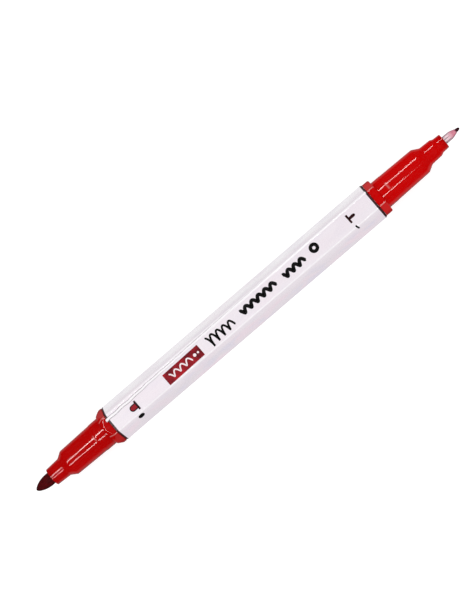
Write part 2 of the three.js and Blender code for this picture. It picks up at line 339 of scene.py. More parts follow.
class RingStack:
    """Rings round the pen's axis that are skinned into one closed mesh."""

    def __init__(self, set_out: SetOut, end: End, angles: np.ndarray) -> None:
        """Starts an empty stack.

        Args:
            set_out: The pen's places.
            end: The end whose barrel face heights are measured from.
            angles: The angles at which each ring has a vertex.
        """
        self.axis_z = set_out.axis_z
        self.origin_x = set_out.ends[end]
        self.direction = end.value
        self.angles = angles
        self.heights: list[float] = []
        self.radii: list[np.ndarray] = []

    def add(self, height: float, radius: np.ndarray | float) -> None:
        """Adds a ring at a height over the barrel's face, with a radius at each angle."""
        self.heights.append(height)
        self.radii.append(np.broadcast_to(radius, self.angles.shape).astype(float))

    def add_outline(self, stops: list[Stop], shape: Rings | None = None) -> None:
        """Adds a ring for each point of a rounded outline.

        Args:
            stops: The outline's corners.
            shape: Turns a height and a radius into the radius at each angle.
        """
        for height, radius in rounded(stops):
            self.add(height, shape(height, radius) if shape else radius)

    def add_face(self, height: float, start: np.ndarray, end: np.ndarray, steps: int) -> None:
        """Adds rings across a flat face, without its two edges."""
        for share in np.arange(1, steps) / steps:
            self.add(height, start * (1 - share) + end * share)

    def add_point(self, tip: float, length: float, radius: float, steps: int, least: float) -> None:
        """Adds a nib's rounded point.

        Args:
            tip: Height of its end.
            length: How long it is.
            radius: The rod's radius.
            steps: How many rings it has.
            least: The last ring's radius.
        """
        fullness, bluntness, gathering = 1.7, 0.62, 1.8
        for along in 1 - (1 - np.linspace(0, 1, steps)) ** gathering:
            share = (1 - along**fullness) ** bluntness
            self.add(tip - length * (1 - along), max(radius * share, least))

    def skin(self, name: str, hollow: bool) -> Piece:
        """Joins each ring to the next.

        Args:
            name: The piece's name.
            hollow: True joins the last ring to the first, and False closes both ends.

        Returns:
            The piece. Its mark named height holds each vertex's height in millimetres, and
            the one named side is 1 at its two sides and 0 along its top and bottom.
        """
        count, rings = len(self.angles), len(self.heights)
        x = self.origin_x + self.direction * np.array(self.heights)
        radii = np.array(self.radii)
        y = radii * np.cos(self.angles)
        z = self.axis_z + radii * np.sin(self.angles)
        points = np.stack([np.repeat(x[:, None], count, 1), y, z], axis=2).reshape(-1, 3)
        heights = np.repeat(np.array(self.heights), count)
        side = np.tile(np.abs(np.cos(self.angles)), rings)
        faces = loft_faces(rings, count, hollow)
        if not hollow:
            first, last = len(points), (rings - 1) * count
            points = np.vstack([points, [(x[i], 0.0, self.axis_z) for i in (0, -1)]])
            heights = np.append(heights, [self.heights[0], self.heights[-1]])
            side = np.append(side, [0.0, 0.0])
            for j in range(count):
                k = (j + 1) % count
                faces += [(first, k, j), (first + 1, last + j, last + k)]
        return mesh_object(name, points, faces, {"height": heights / MM, "side": side})


# ---- Finishes ----


@dataclass(frozen=True)
class Noise:
    """Cloudy noise.

    Attributes:
        cells: How many cells it has to a millimetre.
        detail: How many finer octaves it has.
        along: How far its cells are drawn out along the pen.
        across: How far they are drawn out across it.
        share: Start and end that are mapped to a low and a high, or none.
    """

    cells: float
    detail: float = 2.0
    along: float = 1.0
    across: float = 1.0
    share: Span | None = None


class NodeSheet:
    """The nodes of a material or a world, with short calls for the ones that are shared."""

    def __init__(self, owner: bpy.types.Material | bpy.types.World) -> None:
        """Clears the owner's nodes.

        Args:
            owner: The material or world that the nodes belong to.
        """
        self.owner = owner
        owner.use_nodes = True
        self.tree = owner.node_tree
        self.tree.nodes.clear()

    def add(self, kind: str, inputs: Inputs, **settings: object) -> bpy.types.Node:
        """Adds a node.

        Args:
            kind: The node's type, without its ShaderNode prefix.
            inputs: Links and values for its input sockets.
            **settings: Properties of the node itself.

        Returns:
            The new node.
        """
        node = self.tree.nodes.new("ShaderNode" + kind)
        for key, value in settings.items():
            setattr(node, key, value)
        for key, value in inputs.items():
            if isinstance(value, bpy.types.NodeSocket):
                self.tree.links.new(value, node.inputs[key])
            elif isinstance(value, tuple) and len(node.inputs[key].default_value) == 4:
                node.inputs[key].default_value = (*value, 1.0)
            else:
                node.inputs[key].default_value = value
        return node

    def millimetres(self, along: float = 1.0, across: float = 1.0) -> Socket:
        """The piece's own coordinates in millimetres, drawn out.

        Args:
            along: How far they are drawn out along the pen.
            across: How far across it.

        Returns:
            The coordinates.
        """
        inputs = {0: self.add("TexCoord", {}).outputs["Object"]}
        inputs[1] = (1 / MM / along, 1 / MM / across, 1 / MM / across)
        return self.add("VectorMath", inputs, operation="MULTIPLY").outputs["Vector"]

    def noise(self, noise: Noise) -> Socket:
        """Adds cloudy noise.

        Args:
            noise: What it is like.

        Returns:
            Its value, mapped where it has a share.
        """
        place = self.millimetres(noise.along, noise.across)
        inputs = {"Vector": place, "Scale": noise.cells, "Detail": noise.detail}
        cloud = self.add("TexNoise", inputs).outputs["Fac"]
        return self.span(cloud, *noise.share) if noise.share else cloud

    def mark(self, name: str) -> Socket:
        """A value that the mesh holds for each vertex."""
        return self.add("Attribute", {}, attribute_name=name).outputs["Fac"]

    def math(self, operation: str, *values: Value) -> Socket:
        """One arithmetic step."""
        return self.add("Math", dict(enumerate(values)), operation=operation).outputs[0]

    def span(
        self, value: Socket, start: float, end: float, low: float = 0.0, high: float = 1.0
    ) -> Socket:
        """Maps start..end to low..high, held at both ends."""
        inputs = {"Value": value, "From Min": start, "From Max": end, "To Min": low, "To Max": high}
        return self.add("MapRange", inputs, clamp=True).outputs["Result"]

    def mix(self, shade: Value, *coats: tuple[Value, Value]) -> Socket:
        """Lays colours over each other.

        Args:
            shade: The colour under the others.
            *coats: The others in order, each with the share that it covers.

        Returns:
            The colour that comes of them.
        """
        for colour, share in coats:
            shade = self.add("Mix", {0: share, 6: shade, 7: colour}, data_type="RGBA").outputs[2]
        return shade

    def bump(self, height: Socket, depth: float, under: Socket | None = None) -> Socket:
        """Adds fine relief.

        Args:
            height: The relief's height from 0 to 1.
            depth: What a height of 1 stands for, in metres.
            under: The normal that it lies on.

        Returns:
            The new normal.
        """
        inputs = {"Height": height, "Strength": 1.0, "Distance": depth}
        if under:
            inputs["Normal"] = under
        return self.add("Bump", inputs).outputs["Normal"]

    def finish(self, inputs: Inputs) -> bpy.types.Material:
        """Closes the sheet with a principled shader.

        Args:
            inputs: The shader's inputs.

        Returns:
            The sheet's material.
        """
        shader = self.add("BsdfPrincipled", inputs)
        self.add("OutputMaterial", {"Surface": shader.outputs[0]})
        return self.owner


@dataclass(frozen=True)
class Finish:
    """A finish by name, which each kind of surface draws in its own way."""

    name: str

    def inputs(self, sheet: NodeSheet) -> Inputs:
        """Draws the nodes on a sheet and returns the shader's inputs."""
        raise NotImplementedError

    def make(self) -> bpy.types.Material:
        """Builds the material."""
        sheet = NodeSheet(bpy.data.materials.new(self.name))
        return sheet.finish(self.inputs(sheet))


@dataclass(frozen=True)
class GlossyRed(Finish):
    """Glossy red moulded plastic, hazed by handling and stained by ink near its nose, with painted
    shade along its sides and painted highlights.
    """

    colour: Colour
    deep: Colour
    nose: float
    # The ink stain near the nose.
    ink_stain_and_gap_shade: Colour = (0.17, 0.001, 0.001)
    inked_reach: float = 1.6
    inked_share: float = 0.55
    # Painted shade: the dark red laid along the two sides, where the surface turns away from the light.
    sides: Colour = (0.09, 0.002, 0.002)
    side_shade_share: Span = (0.95, 1.0, 0.0, 0.45)
    # Painted highlight: the pale pink laid on the flange's corners and along the band's step.
    glint_colour: Colour = (0.75, 0.36, 0.34)
    flow: Noise = Noise(0.6, 3.0, 6.0, 1.5, (0.35, 0.7, 0.0, 0.5))
    patches: Noise = Noise(2.2, share=(0.35, 0.6, 0.3, 1.0))
    haze: Noise = Noise(1.4, 4.0, along=2.5, share=(0.35, 0.7, 0.07, 0.12))
    hairlines: Noise = Noise(1.0, 2.0, 9.0, 0.12)
    hairline_depth: float = 0.00008 * MM
    waviness: Noise = Noise(0.35, 1.0)
    wave_depth: float = 0.008 * MM

    def inputs(self, sheet: NodeSheet) -> Inputs:
        """Draws the nodes.

        Args:
            sheet: The sheet to draw them on.

        Returns:
            The shader's inputs.
        """
        tip = self.nose / MM
        stain = sheet.span(sheet.mark("height"), tip - self.inked_reach, tip, 0.0, self.inked_share)
        normal = sheet.bump(sheet.noise(self.hairlines), self.hairline_depth)
        return {
            "Base Color": sheet.mix(
                self.colour,
                (self.deep, sheet.noise(self.flow)),
                (self.ink_stain_and_gap_shade, sheet.math("MULTIPLY", stain, sheet.noise(self.patches))),
                # Painted shade along the two sides.
                (self.sides, sheet.span(sheet.mark("side"), *self.side_shade_share)),
                # Painted highlights on the flange's corners and along the band's step.
                (self.glint_colour, sheet.mark("worn")),
            ),
            "Roughness": sheet.noise(self.haze),
            "IOR": 1.5,
            "Normal": sheet.bump(sheet.noise(self.waviness), self.wave_depth, normal),
        }


@dataclass(frozen=True)
class PearlFilm(Finish):
    """Glossy white film with a faint pink and lilac pearl, with painted light and shade on its side
    facets, a painted sheen on its lower -Y facet, painted highlights along its corners and painted
    shade at its ends.

    The height of its top and the spans of its tints are in millimetres.
    """

    top_z: float
    white: Colour = (0.860, 0.796, 0.848)
    # Painted light and shade: the +Y side facet is painted lighter and the -Y side facet darker.
    painted_lit_side_white: Colour = (0.970, 0.940, 0.970)
    painted_shaded_side_white: Colour = (0.800, 0.735, 0.790)
    pink: Colour = (0.850, 0.725, 0.795)
    lilac: Colour = (0.760, 0.710, 0.800)
    # The colour of the highlight painted along the film's corners.
    corner: Colour = (0.985, 0.965, 0.985)
    corner_highlight_share: float = 0.7
    seam_line: Colour = (0.10, 0.08, 0.09)
    # Painted shade of the gap where each holder meets the film, at the film's ends.
    ink_stain_and_gap_shade: Colour = (0.035, 0.002, 0.006)
    below_top: Pair = (0.4, 2.2)
    middle: Pair = (0.8, -0.8)
    # How strongly the pearl tints show: partly the pearl's own colour, partly a painted sheen that is
    # strongest on the lower -Y facet.
    pearl_and_side_sheen: Pair = (0.7, 0.2)
    pink_drift: Noise = Noise(1.0, 1.5, 9.0, 3.2, (0.45, 0.62, 0.0, 1.0))
    lilac_drift: Noise = Noise(1.3, 1.5, 7.0, 2.4, (0.5, 0.66, 0.0, 1.0))
    speck: Noise = Noise(6.0, 3.0)
    speck_depth: float = 0.0015 * MM
    gloss: Span = (0.3, 0.7, 0.22, 0.34)
    ripple: Noise = Noise(2.0, 2.0, 9.0, 3.2)
    ripple_depth: float = 0.02 * MM

    def inputs(self, sheet: NodeSheet) -> Inputs:
        """Draws the nodes.

        Args:
            sheet: The sheet to draw them on.

        Returns:
            The shader's inputs.
        """
        split = sheet.add("SeparateXYZ", {0: sheet.millimetres()}).outputs
        # Below the top flat and towards -Y, where lighter and darker facets are painted.
        drop = sheet.span(split["Z"], *(self.top_z - down for down in self.below_top))
        shaded_side = sheet.span(split["Y"], *self.middle)
        most, least = self.pearl_and_side_sheen
        pearl_and_side_sheen = sheet.math("MULTIPLY_ADD", drop, sheet.span(shaded_side, 0.0, 1.0, 0.0, most), least)
        speck = sheet.noise(self.speck)
        normal = sheet.bump(speck, self.speck_depth)
        return {
            "Base Color": sheet.mix(
                self.white,
                # Painted light and shade on the side facets.
                (sheet.mix(self.painted_lit_side_white, (self.painted_shaded_side_white, shaded_side)), drop),
                # Pearl tints, strengthened on the lower -Y facet as a painted sheen.
                (self.pink, sheet.math("MULTIPLY", sheet.noise(self.pink_drift), pearl_and_side_sheen)),
                (self.lilac, sheet.math("MULTIPLY", sheet.noise(self.lilac_drift), pearl_and_side_sheen)),
                # The pale mark: a painted highlight along the film's corners, and the pale middle of
                # the seam.
                (self.corner, sheet.math("MULTIPLY", sheet.mark("pale"), self.corner_highlight_share)),
                (self.seam_line, sheet.mark("line")),
                # Painted shade of the gaps, at the film's ends.
                (self.ink_stain_and_gap_shade, sheet.mark("stain")),
            ),
            "Roughness": sheet.span(speck, *self.gloss),
            "IOR": 1.48,
            "Coat Weight": 0.35,
            "Coat Roughness": 0.08,
            "Normal": sheet.bump(sheet.noise(self.ripple), self.ripple_depth, normal),
        }


@dataclass(frozen=True)
class WhitePlastic(Finish):
    """White moulded plastic, with painted shade of the gaps at its bare rims, where the holders meet
    it.
    """

    rims: Pair
    rim_width: float = 0.34 * MM
    fade: float = 0.03
    white: Colour = (0.86, 0.85, 0.86)
    grey: Colour = (0.78, 0.76, 0.78)
    # Painted shade of the gap at each rim, in two dark reds mixed by cloud.
    inks_and_gap_shades: tuple[Colour, Colour] = ((0.035, 0.001, 0.004), (0.12, 0.002, 0.006))
    cloud: Noise = Noise(0.7, 3.0)
    gap_shade_share: Span = (0.4, 0.6, 0.0, 1.0)
    grain: Noise = Noise(9.0, 3.0)
    gloss: Span = (0.3, 0.7, 0.32, 0.46)
    grain_depth: float = 0.002 * MM

    def inputs(self, sheet: NodeSheet) -> Inputs:
        """Draws the nodes.

        Args:
            sheet: The sheet to draw them on.

        Returns:
            The shader's inputs.
        """
        x = sheet.add("SeparateXYZ", {0: sheet.millimetres()}).outputs["X"]
        low = (self.rims[0] + self.rim_width) / MM
        high = (self.rims[1] - self.rim_width) / MM
        at_low = sheet.span(x, low, low + self.fade, 1.0, 0.0)
        at_high = sheet.span(x, high - self.fade, high, 0.0, 1.0)
        cloud = sheet.noise(self.cloud)
        ink_and_gap_shade = sheet.mix(self.inks_and_gap_shades[0], (self.inks_and_gap_shades[1], sheet.span(cloud, *self.gap_shade_share)))
        # The rims, where the gaps' shade is painted.
        ink_stain_and_gap_shade = sheet.math("MAXIMUM", at_low, at_high)
        grain = sheet.noise(self.grain)
        return {
            "Base Color": sheet.mix(self.white, (self.grey, cloud), (ink_and_gap_shade, ink_stain_and_gap_shade)),
            "Roughness": sheet.span(grain, *self.gloss),
            "IOR": 1.49,
            "Normal": sheet.bump(grain, self.grain_depth),
        }


@dataclass(frozen=True)
class SoakedFibre(Finish):
    """Bonded fibre full of ink: fine strands along the pen, darker where the ink pools and towards its
    tip, with painted shade along its two sides.
    """

    wet: Colour
    dark: Colour
    strand: float
    strand_stretch: float = 12.0
    end_cells: float = 0.8
    roughness: Pair = (0.42, 0.68)
    rough_from: Pair = (0.3, 0.7)
    relief: float = 0.012 * MM
    tip: Pair = (0.0, 1.0)
    # The darker colour towards the tip, and the painted shade along the two sides.
    tip_and_side_shade: Colour = (0.02, 0.002, 0.002)
    tip_share: float = 0.85
    strand_share: Span = (0.32, 0.62, 0.0, 1.0)
    pools: Noise = Noise(1.1, 3.0, 1.6)
    pool_share: Span = (0.5, 0.75, 0.0, 0.6)
    side_shade_share: Span = (0.8, 1.0, 0.0, 0.8)
    ends_relief: float = 0.4

    def inputs(self, sheet: NodeSheet) -> Inputs:
        """Draws the nodes.

        Args:
            sheet: The sheet to draw them on.

        Returns:
            The shader's inputs.
        """
        strands = sheet.noise(Noise(1.0 / self.strand, along=self.strand_stretch))
        pools = sheet.noise(self.pools)
        ends = sheet.noise(Noise(self.end_cells / self.strand))
        start, end = (limit / MM for limit in self.tip)
        at_tip = sheet.span(sheet.mark("height"), start, end, 0.0, self.tip_share)
        normal = sheet.bump(strands, self.relief)
        return {
            "Base Color": sheet.mix(
                self.dark,
                (self.wet, sheet.span(strands, *self.strand_share)),
                (self.dark, sheet.span(pools, *self.pool_share)),
                (self.tip_and_side_shade, at_tip),
                # Painted shade along the two sides.
                (self.tip_and_side_shade, sheet.span(sheet.mark("side"), *self.side_shade_share)),
            ),
            "Roughness": sheet.span(pools, *self.rough_from, *self.roughness[::-1]),
            "Specular IOR Level": 0.03,
            "Normal": sheet.bump(ends, self.relief * self.ends_relief, normal),
        }


@dataclass(frozen=True)
class StainedSheath(Finish):
    """Pale translucent plastic that ink has tinted pink, deepest towards its mouth, with painted shade
    along its two sides.
    """

    mouth: float
    nose: float
    pale: Colour = (0.91, 0.70, 0.75)
    pink: Colour = (0.66, 0.17, 0.25)
    # Painted shade: the darker mauve laid along the two sides.
    outer: Colour = (0.20, 0.09, 0.13)
    line: Colour = (0.17, 0.10, 0.14)
    rim: Colour = (0.22, 0.02, 0.05)
    streaks: Noise = Noise(2.2, 2.0, 7.0, 0.8)
    streak_share: Span = (0.3, 0.7, 0.75, 1.0)
    tinted: Pair = (0.9, 1.0)
    side_shade_share: Span = (0.62, 0.95, 0.0, 0.85)
    line_share: Span = (0.2, 0.8, 0.0, 0.8)
    line_fade: Pair = (1.3, 2.0)
    rim_width: float = 0.3
    rim_share: float = 0.85
    gloss: Span = (0.3, 0.7, 0.16, 0.3)
    depth: float = 0.004 * MM

    def inputs(self, sheet: NodeSheet) -> Inputs:
        """Draws the nodes.

        Args:
            sheet: The sheet to draw them on.

        Returns:
            The shader's inputs.
        """
        height = sheet.mark("height")
        streaks = sheet.noise(self.streaks)
        nose, mouth = self.nose / MM, self.mouth / MM
        near_mouth = sheet.span(height, nose + self.tinted[0], mouth - self.tinted[1])
        tint = sheet.math("MULTIPLY", near_mouth, sheet.span(streaks, *self.streak_share))
        lined = sheet.span(sheet.mark("line"), *self.line_share)
        by_nose = sheet.span(height, *(nose + reach for reach in self.line_fade), 1.0, 0.0)
        return {
            "Base Color": sheet.mix(
                self.pale,
                (self.pink, tint),
                # Painted shade along the two sides.
                (self.outer, sheet.span(sheet.mark("side"), *self.side_shade_share)),
                (self.line, sheet.math("MULTIPLY", lined, by_nose)),
                (self.rim, sheet.span(height, mouth - self.rim_width, mouth, 0.0, self.rim_share)),
            ),
            "Roughness": sheet.span(streaks, *self.gloss),
            "IOR": 1.48,
            "Subsurface Weight": 0.12,
            "Subsurface Radius": (0.5, 0.18, 0.2),
            "Subsurface Scale": 1.2 * MM,
            "Coat Weight": 0.3,
            "Coat Roughness": 0.06,
            "Normal": sheet.bump(streaks, self.depth),
        }


@dataclass(frozen=True)
class ThinFilm(Finish):
    """Thin plastic film over inked fibre, blotched where ink has wetted it."""

    dry: Colour = (0.83, 0.66, 0.66)
    wetted: Colour = (0.55, 0.04, 0.05)
    blots: Noise = Noise(0.5, 4.0, along=2.0)
    blot_share: Span = (0.45, 0.6, 0.0, 1.0)
    gloss: Span = (0.4, 0.6, 0.3, 0.18)
    crimps: Noise = Noise(1.5, 2.0, 0.5, 2.0)
    crimp_depth: float = 0.02 * MM

    def inputs(self, sheet: NodeSheet) -> Inputs:
        """Draws the nodes.

        Args:
            sheet: The sheet to draw them on.

        Returns:
            The shader's inputs.
        """
        blots = sheet.noise(self.blots)
        return {
            "Base Color": sheet.mix(self.dry, (self.wetted, sheet.span(blots, *self.blot_share))),
            "Roughness": sheet.span(blots, *self.gloss),
            "Coat Weight": 0.4,
            "Coat Roughness": 0.1,
            "Normal": sheet.bump(sheet.noise(self.crimps), self.crimp_depth),
        }


@dataclass(frozen=True)
class PrintInk(Finish):
    """Printing ink on film, a little uneven in how thickly it lies."""

    colour: Colour
    thin: Colour
    cloud: Noise = Noise(0.4, 3.0, share=(0.42, 0.72, 0.0, 1.0))
    speck: Noise = Noise(14.0)
    gloss: Span = (0.3, 0.7, 0.28, 0.42)
    depth: float = 0.001 * MM

    def inputs(self, sheet: NodeSheet) -> Inputs:
        """Draws the nodes.

        Args:
            sheet: The sheet to draw them on.

        Returns:
            The shader's inputs.
        """
        speck = sheet.noise(self.speck)
        return {
            "Base Color": sheet.mix(self.colour, (self.thin, sheet.noise(self.cloud))),
            "Roughness": sheet.span(speck, *self.gloss),
            "Specular IOR Level": 0.08,
            "Normal": sheet.bump(speck, self.depth),
        }


def dress(piece: Piece, finish: bpy.types.Material, body: str, slot: str, *nodes: str) -> None:
    """Gives a piece its finish and its place in the frame.

    Args:
        piece: The piece.
        finish: Its material.
        body: The body that it rides on.
        slot: The record's material slot. Not used.
        *nodes: The nodes that it stands for.
    """
    piece.data.materials.append(finish)
    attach(piece, body)
    if nodes:
        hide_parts(*nodes)
    LOG.info("%s: %d faces on %s", piece.name, len(piece.data.polygons), body)


# ---- Barrel and reservoir ----


@dataclass
class Barrel:
    """The hexagonal tube, with the ribs that grip the reservoir."""

    set_out: SetOut
    bore: float = 3.45 * MM
    reach: float = 4.23 * MM
    corner: float = 0.52 * MM
    rim_round: float = 0.09 * MM
    mouth_chamfer: float = 0.3 * MM
    rib_height: float = 0.25 * MM
    rib_width: float = 0.5 * MM
    rib_flanks: tuple[float, float, float] = (1.0, 1.12, 1.25)
    rib_start: float = 9.5 * MM
    rib_lead: float = 0.6 * MM
    body_rings: int = 12
    body_start: float = 0.05

    def build(self) -> None:
        """Builds and dresses the tube."""
        half = self.rib_width / 2 / self.bore
        flank = self.rib_flanks[-1]
        angles = spread_angles(tuple(half * share for share in self.rib_flanks))
        crown = np.clip((half * flank - off_nearest(angles, SIXTH)) / (half * (flank - 1)), 0.0, 1.0)
        outside = Hexagon(self.reach, self.corner).radius(angles)
        ends = self.set_out.ends
        length, rim = ends[End.FINE] - ends[End.BULLET], self.rim_round
        arc = np.linspace(0, QUARTER, ARC_STEPS)
        rims = [(rim * (1 - math.cos(turn)), rim * (1 - math.sin(turn))) for turn in arc]
        stack = RingStack(self.set_out, End.FINE, angles)
        for back, inset in rims:
            stack.add(back - length, outside - inset)
        for share in np.linspace(self.body_start, 1 - self.body_start, self.body_rings):
            stack.add(-length * (1 - share), outside)
        for back, inset in rims[::-1]:
            stack.add(-back, outside - inset)
        bore = [
            (0.0, self.bore + self.mouth_chamfer),
            (self.mouth_chamfer, self.bore),
            (self.rib_start, self.bore),
            (self.rib_start + self.rib_lead, self.bore - self.rib_height * crown),
        ]
        for depth, radius in bore:
            stack.add(-depth, radius)
        for depth, radius in bore[::-1]:
            stack.add(depth - length, radius)
        finish = WhitePlastic("barrel_plastic", (ends[End.BULLET], ends[End.FINE])).make()
        tube = stack.skin("barrel_tube", hollow=True)
        dress(tube, finish, "barrel", "barrel_plastic", "barrel")


@dataclass
class Reservoir:
    """The soaked fibre rod and the film sleeve round it."""

    set_out: SetOut
    wrap: float = 0.12 * MM
    lip: float = 0.04 * MM
    gap: float = 0.03 * MM
    recess: float = 0.4 * MM
    pocket_depth: float = 5.1 * MM
    bullet_pocket: float = 1.675 * MM
    fine_pocket: float = 0.52 * MM
    edge: float = 0.15 * MM
    turns: int = 96

    def build(self) -> None:
        """Builds and dresses both pieces."""
        low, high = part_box("reservoir_sleeve")
        radius = (high.z - low.z) / 2
        top = high.x - self.set_out.ends[End.FINE]
        foot = low.x - self.set_out.ends[End.FINE]
        angles = even_angles(self.turns)
        inner = radius - self.wrap
        sleeve = RingStack(self.set_out, End.FINE, angles)
        sleeve.add_outline([
            Stop(top, inner),
            Stop(top, radius - self.lip, self.lip),
            Stop(top - self.edge, radius, self.lip),
            Stop(foot + self.edge, radius, self.lip),
            Stop(foot, radius - self.lip, self.lip),
            Stop(foot, inner),
        ])
        fibre = RingStack(self.set_out, End.FINE, angles)
        fine_floor, bullet_floor = top - self.pocket_depth, foot + self.pocket_depth
        rod = [
            Stop(fine_floor, 0.0),
            Stop(fine_floor, self.fine_pocket, self.edge),
            Stop(top - self.recess, self.fine_pocket, self.edge),
            Stop(top - self.recess, inner - self.gap, self.edge),
            Stop(foot + self.recess, inner - self.gap, self.edge),
            Stop(foot + self.recess, self.bullet_pocket, self.edge),
            Stop(bullet_floor, self.bullet_pocket, self.edge),
            Stop(bullet_floor, 0.0),
        ]
        for height, reach in rounded(rod)[1:-1]:
            fibre.add(height, reach)
        wet, dark = (0.42, 0.012, 0.014), (0.2, 0.004, 0.006)
        soaked = SoakedFibre("ink_fibre", wet, dark, 0.16, roughness=(0.7, 0.9))
        wrap = sleeve.skin("reservoir_wrap", hollow=True)
        dress(wrap, ThinFilm("sleeve_film").make(), "barrel", "sleeve_film", "reservoir_sleeve")
        plug = fibre.skin("reservoir_rod", hollow=False)
        dress(plug, soaked.make(), "barrel", "ink_fibre", "reservoir_fibre")


# ---- Film and its prints ----


@dataclass(frozen=True)
class Ripple:
    """A wave along the seam that dies out: its length over a turn, start, swing and reach."""

    length: float
    start: float
    swing: float
    reach: float

    def at(self, along: float) -> float:
        """How far the seam is off its line."""
        return math.sin(along / self.length + self.start) * self.swing * math.exp(-along / self.reach)


@dataclass
class Film:
    """The printed film round the barrel, with its overlapped seam."""

    set_out: SetOut
    thickness: float = 0.1 * MM
    corner: float = 0.65 * MM
    edge: float = 0.03 * MM
    body_rings: int = 40
    # Width and falloff of the highlight painted along the film's corners.
    highlight_width: float = math.radians(2.4)
    highlight_power: float = 0.5
    # How far in from each end the gap's shade is painted.
    gap_shade_edge: float = 0.22 * MM
    seam_width: float = 0.84 * MM
    seam_narrowing: float = 0.2
    seam_narrowed_over: float = 20 * MM
    seam_lift: float = 0.05 * MM
    seam_clear: float = 0.002 * MM
    seam_sink: float = 0.04 * MM
    seam_start: float = 0.84 * MM
    seam_bend: float = 0.45 * MM
    seam_bend_length: float = 10.0 * MM
    seam_slope: float = 0.0105
    ripples: tuple[Ripple, ...] = (
        Ripple(1.9 * MM, 0.6, 0.09 * MM, 12 * MM),
        Ripple(0.66 * MM, 1.0, 0.10 * MM, 13 * MM),
    )
    seam_tab: float = 0.65 * MM
    tab_clear: float = 0.008 * MM
    seam_round: float = 0.1 * MM
    line_width: float = 0.22 * MM
    line_reaches: Pair = (18 * MM, 45 * MM)
    pale_rim: float = 0.14 * MM
    seam_columns: int = 14
    seam_rows: int = 240

    @property
    def outline(self) -> Hexagon:
        """The film's outside."""
        return Hexagon(self.set_out.film_reach, self.corner)

    def wrap(self) -> Piece:
        """Makes the film itself.

        Returns:
            The film, with marks for its corners, where a highlight is painted, and for its ends, where
            the shade of the gap at each holder is painted.
        """
        low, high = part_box("label_film")
        start, end = (side.x - self.set_out.ends[End.FINE] for side in (low, high))
        angles = spread_angles()
        outside = self.outline.radius(angles)
        inner = Hexagon(self.outline.reach - self.thickness, self.corner - self.thickness)
        inside = inner.radius(angles)
        edge, darkened = self.edge, self.gap_shade_edge
        clean = darkened + edge
        stack = RingStack(self.set_out, End.FINE, angles)
        stack.add(start, inside)
        stack.add(start, outside - edge)
        body = np.linspace(start + clean, end - clean, self.body_rings)
        for x in (start + edge, start + darkened - edge, *body, end - darkened + edge, end - edge):
            stack.add(x, outside)
        stack.add(end, outside - edge)
        stack.add(end, inside)
        wrap = stack.skin("label_wrap", hollow=True)
        # A highlight painted along the film's corners.
        pale = nearness(angles, SIXTH, self.highlight_width) ** self.highlight_power
        add_mark(wrap.data, "pale", np.tile(pale, len(stack.heights)))
        # The ends, where the gap's shade is painted.
        at_end = np.array([min(h - start, end - h) < darkened for h in stack.heights])
        add_mark(wrap.data, "stain", np.repeat(at_end.astype(float), len(angles)))
        return wrap

    def seam_place(self, along: float) -> float:
        """Where the seam's lower edge runs, walked from the top flat's middle."""
        bend = self.seam_bend * (1 - math.exp(-max(along, 0.0) / self.seam_bend_length))
        return self.seam_start + bend + along * self.seam_slope + sum(r.at(along) for r in self.ripples)

    def seam(self) -> Piece:
        """Makes the raised strip where the film's ends overlap.

        Returns:
            The strip, with marks for its dark edges and its pale middle.
        """
        low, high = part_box("label_film")
        shape = (self.seam_rows, self.seam_columns)
        across = 0.5 - 0.5 * np.cos(np.linspace(0, 1, self.seam_columns) * math.pi)
        top, foot, line, pale = [], [], [], []
        for x in np.linspace(low.x - self.seam_tab, high.x - self.edge, self.seam_rows):
            along = x - low.x
            past = max(0.0, along)
            base = self.seam_place(along)
            narrowed = self.seam_narrowing * min(1.0, past / self.seam_narrowed_over)
            width = self.seam_width * (1 - narrowed)
            sink = -self.tab_clear if along < 0 else self.seam_sink
            for share in across:
                place, out = self.outline.walk(base + share * width)
                rim = min(share, 1 - share) * width
                lift = self.seam_lift * min(1.0, math.sqrt(rim / self.seam_round))
                spot = Vector((x, place.y, place.z + self.set_out.axis_z))
                top.append(spot + out * (lift + self.seam_clear))
                foot.append(spot - out * sink)
                fade = math.exp(-((past / self.line_reaches[int(share >= 0.5)]) ** 2))
                line.append(max(0.0, 1.0 - rim / self.line_width) * fade)
                pale.append(min(1.0, rim / self.pale_rim))
        marks = {
            "line": np.hstack([np.reshape(line, shape), np.ones(shape)]),
            "pale": np.hstack([np.reshape(pale, shape), np.zeros(shape)]),
        }
        sides = (np.reshape(side, (*shape, 3)) for side in (top, foot))
        return plate("label_overlap", *sides, False, marks)

    def build(self) -> None:
        """Builds and dresses the film and its seam."""
        finish = PearlFilm("pearl_film", (self.set_out.axis_z + self.set_out.film_reach) / MM).make()
        dress(self.wrap(), finish, "barrel", "label_film", "label_film")
        dress(self.seam(), finish, "barrel", "label_film")


class Ink(Enum):
    """The inks that the film is printed with: colour where thick, and where thin."""

    BLACK = ((0.002, 0.002, 0.002), (0.006, 0.005, 0.006))
    DARK = ((0.018, 0.001, 0.002), (0.045, 0.001, 0.003))
    MAROON = ((0.140, 0.002, 0.009), (0.42, 0.006, 0.014))
    RED = ((0.30, 0.006, 0.015), (0.40, 0.012, 0.024))
    PALE = ((0.90, 0.80, 0.82), (0.86, 0.74, 0.77))


@dataclass(frozen=True)
class Print:
    """A print's piece name, its ink, and how many prints it lies on."""

    name: str
    ink_and_gap_shade: Ink = Ink.BLACK
    layer: int = 0


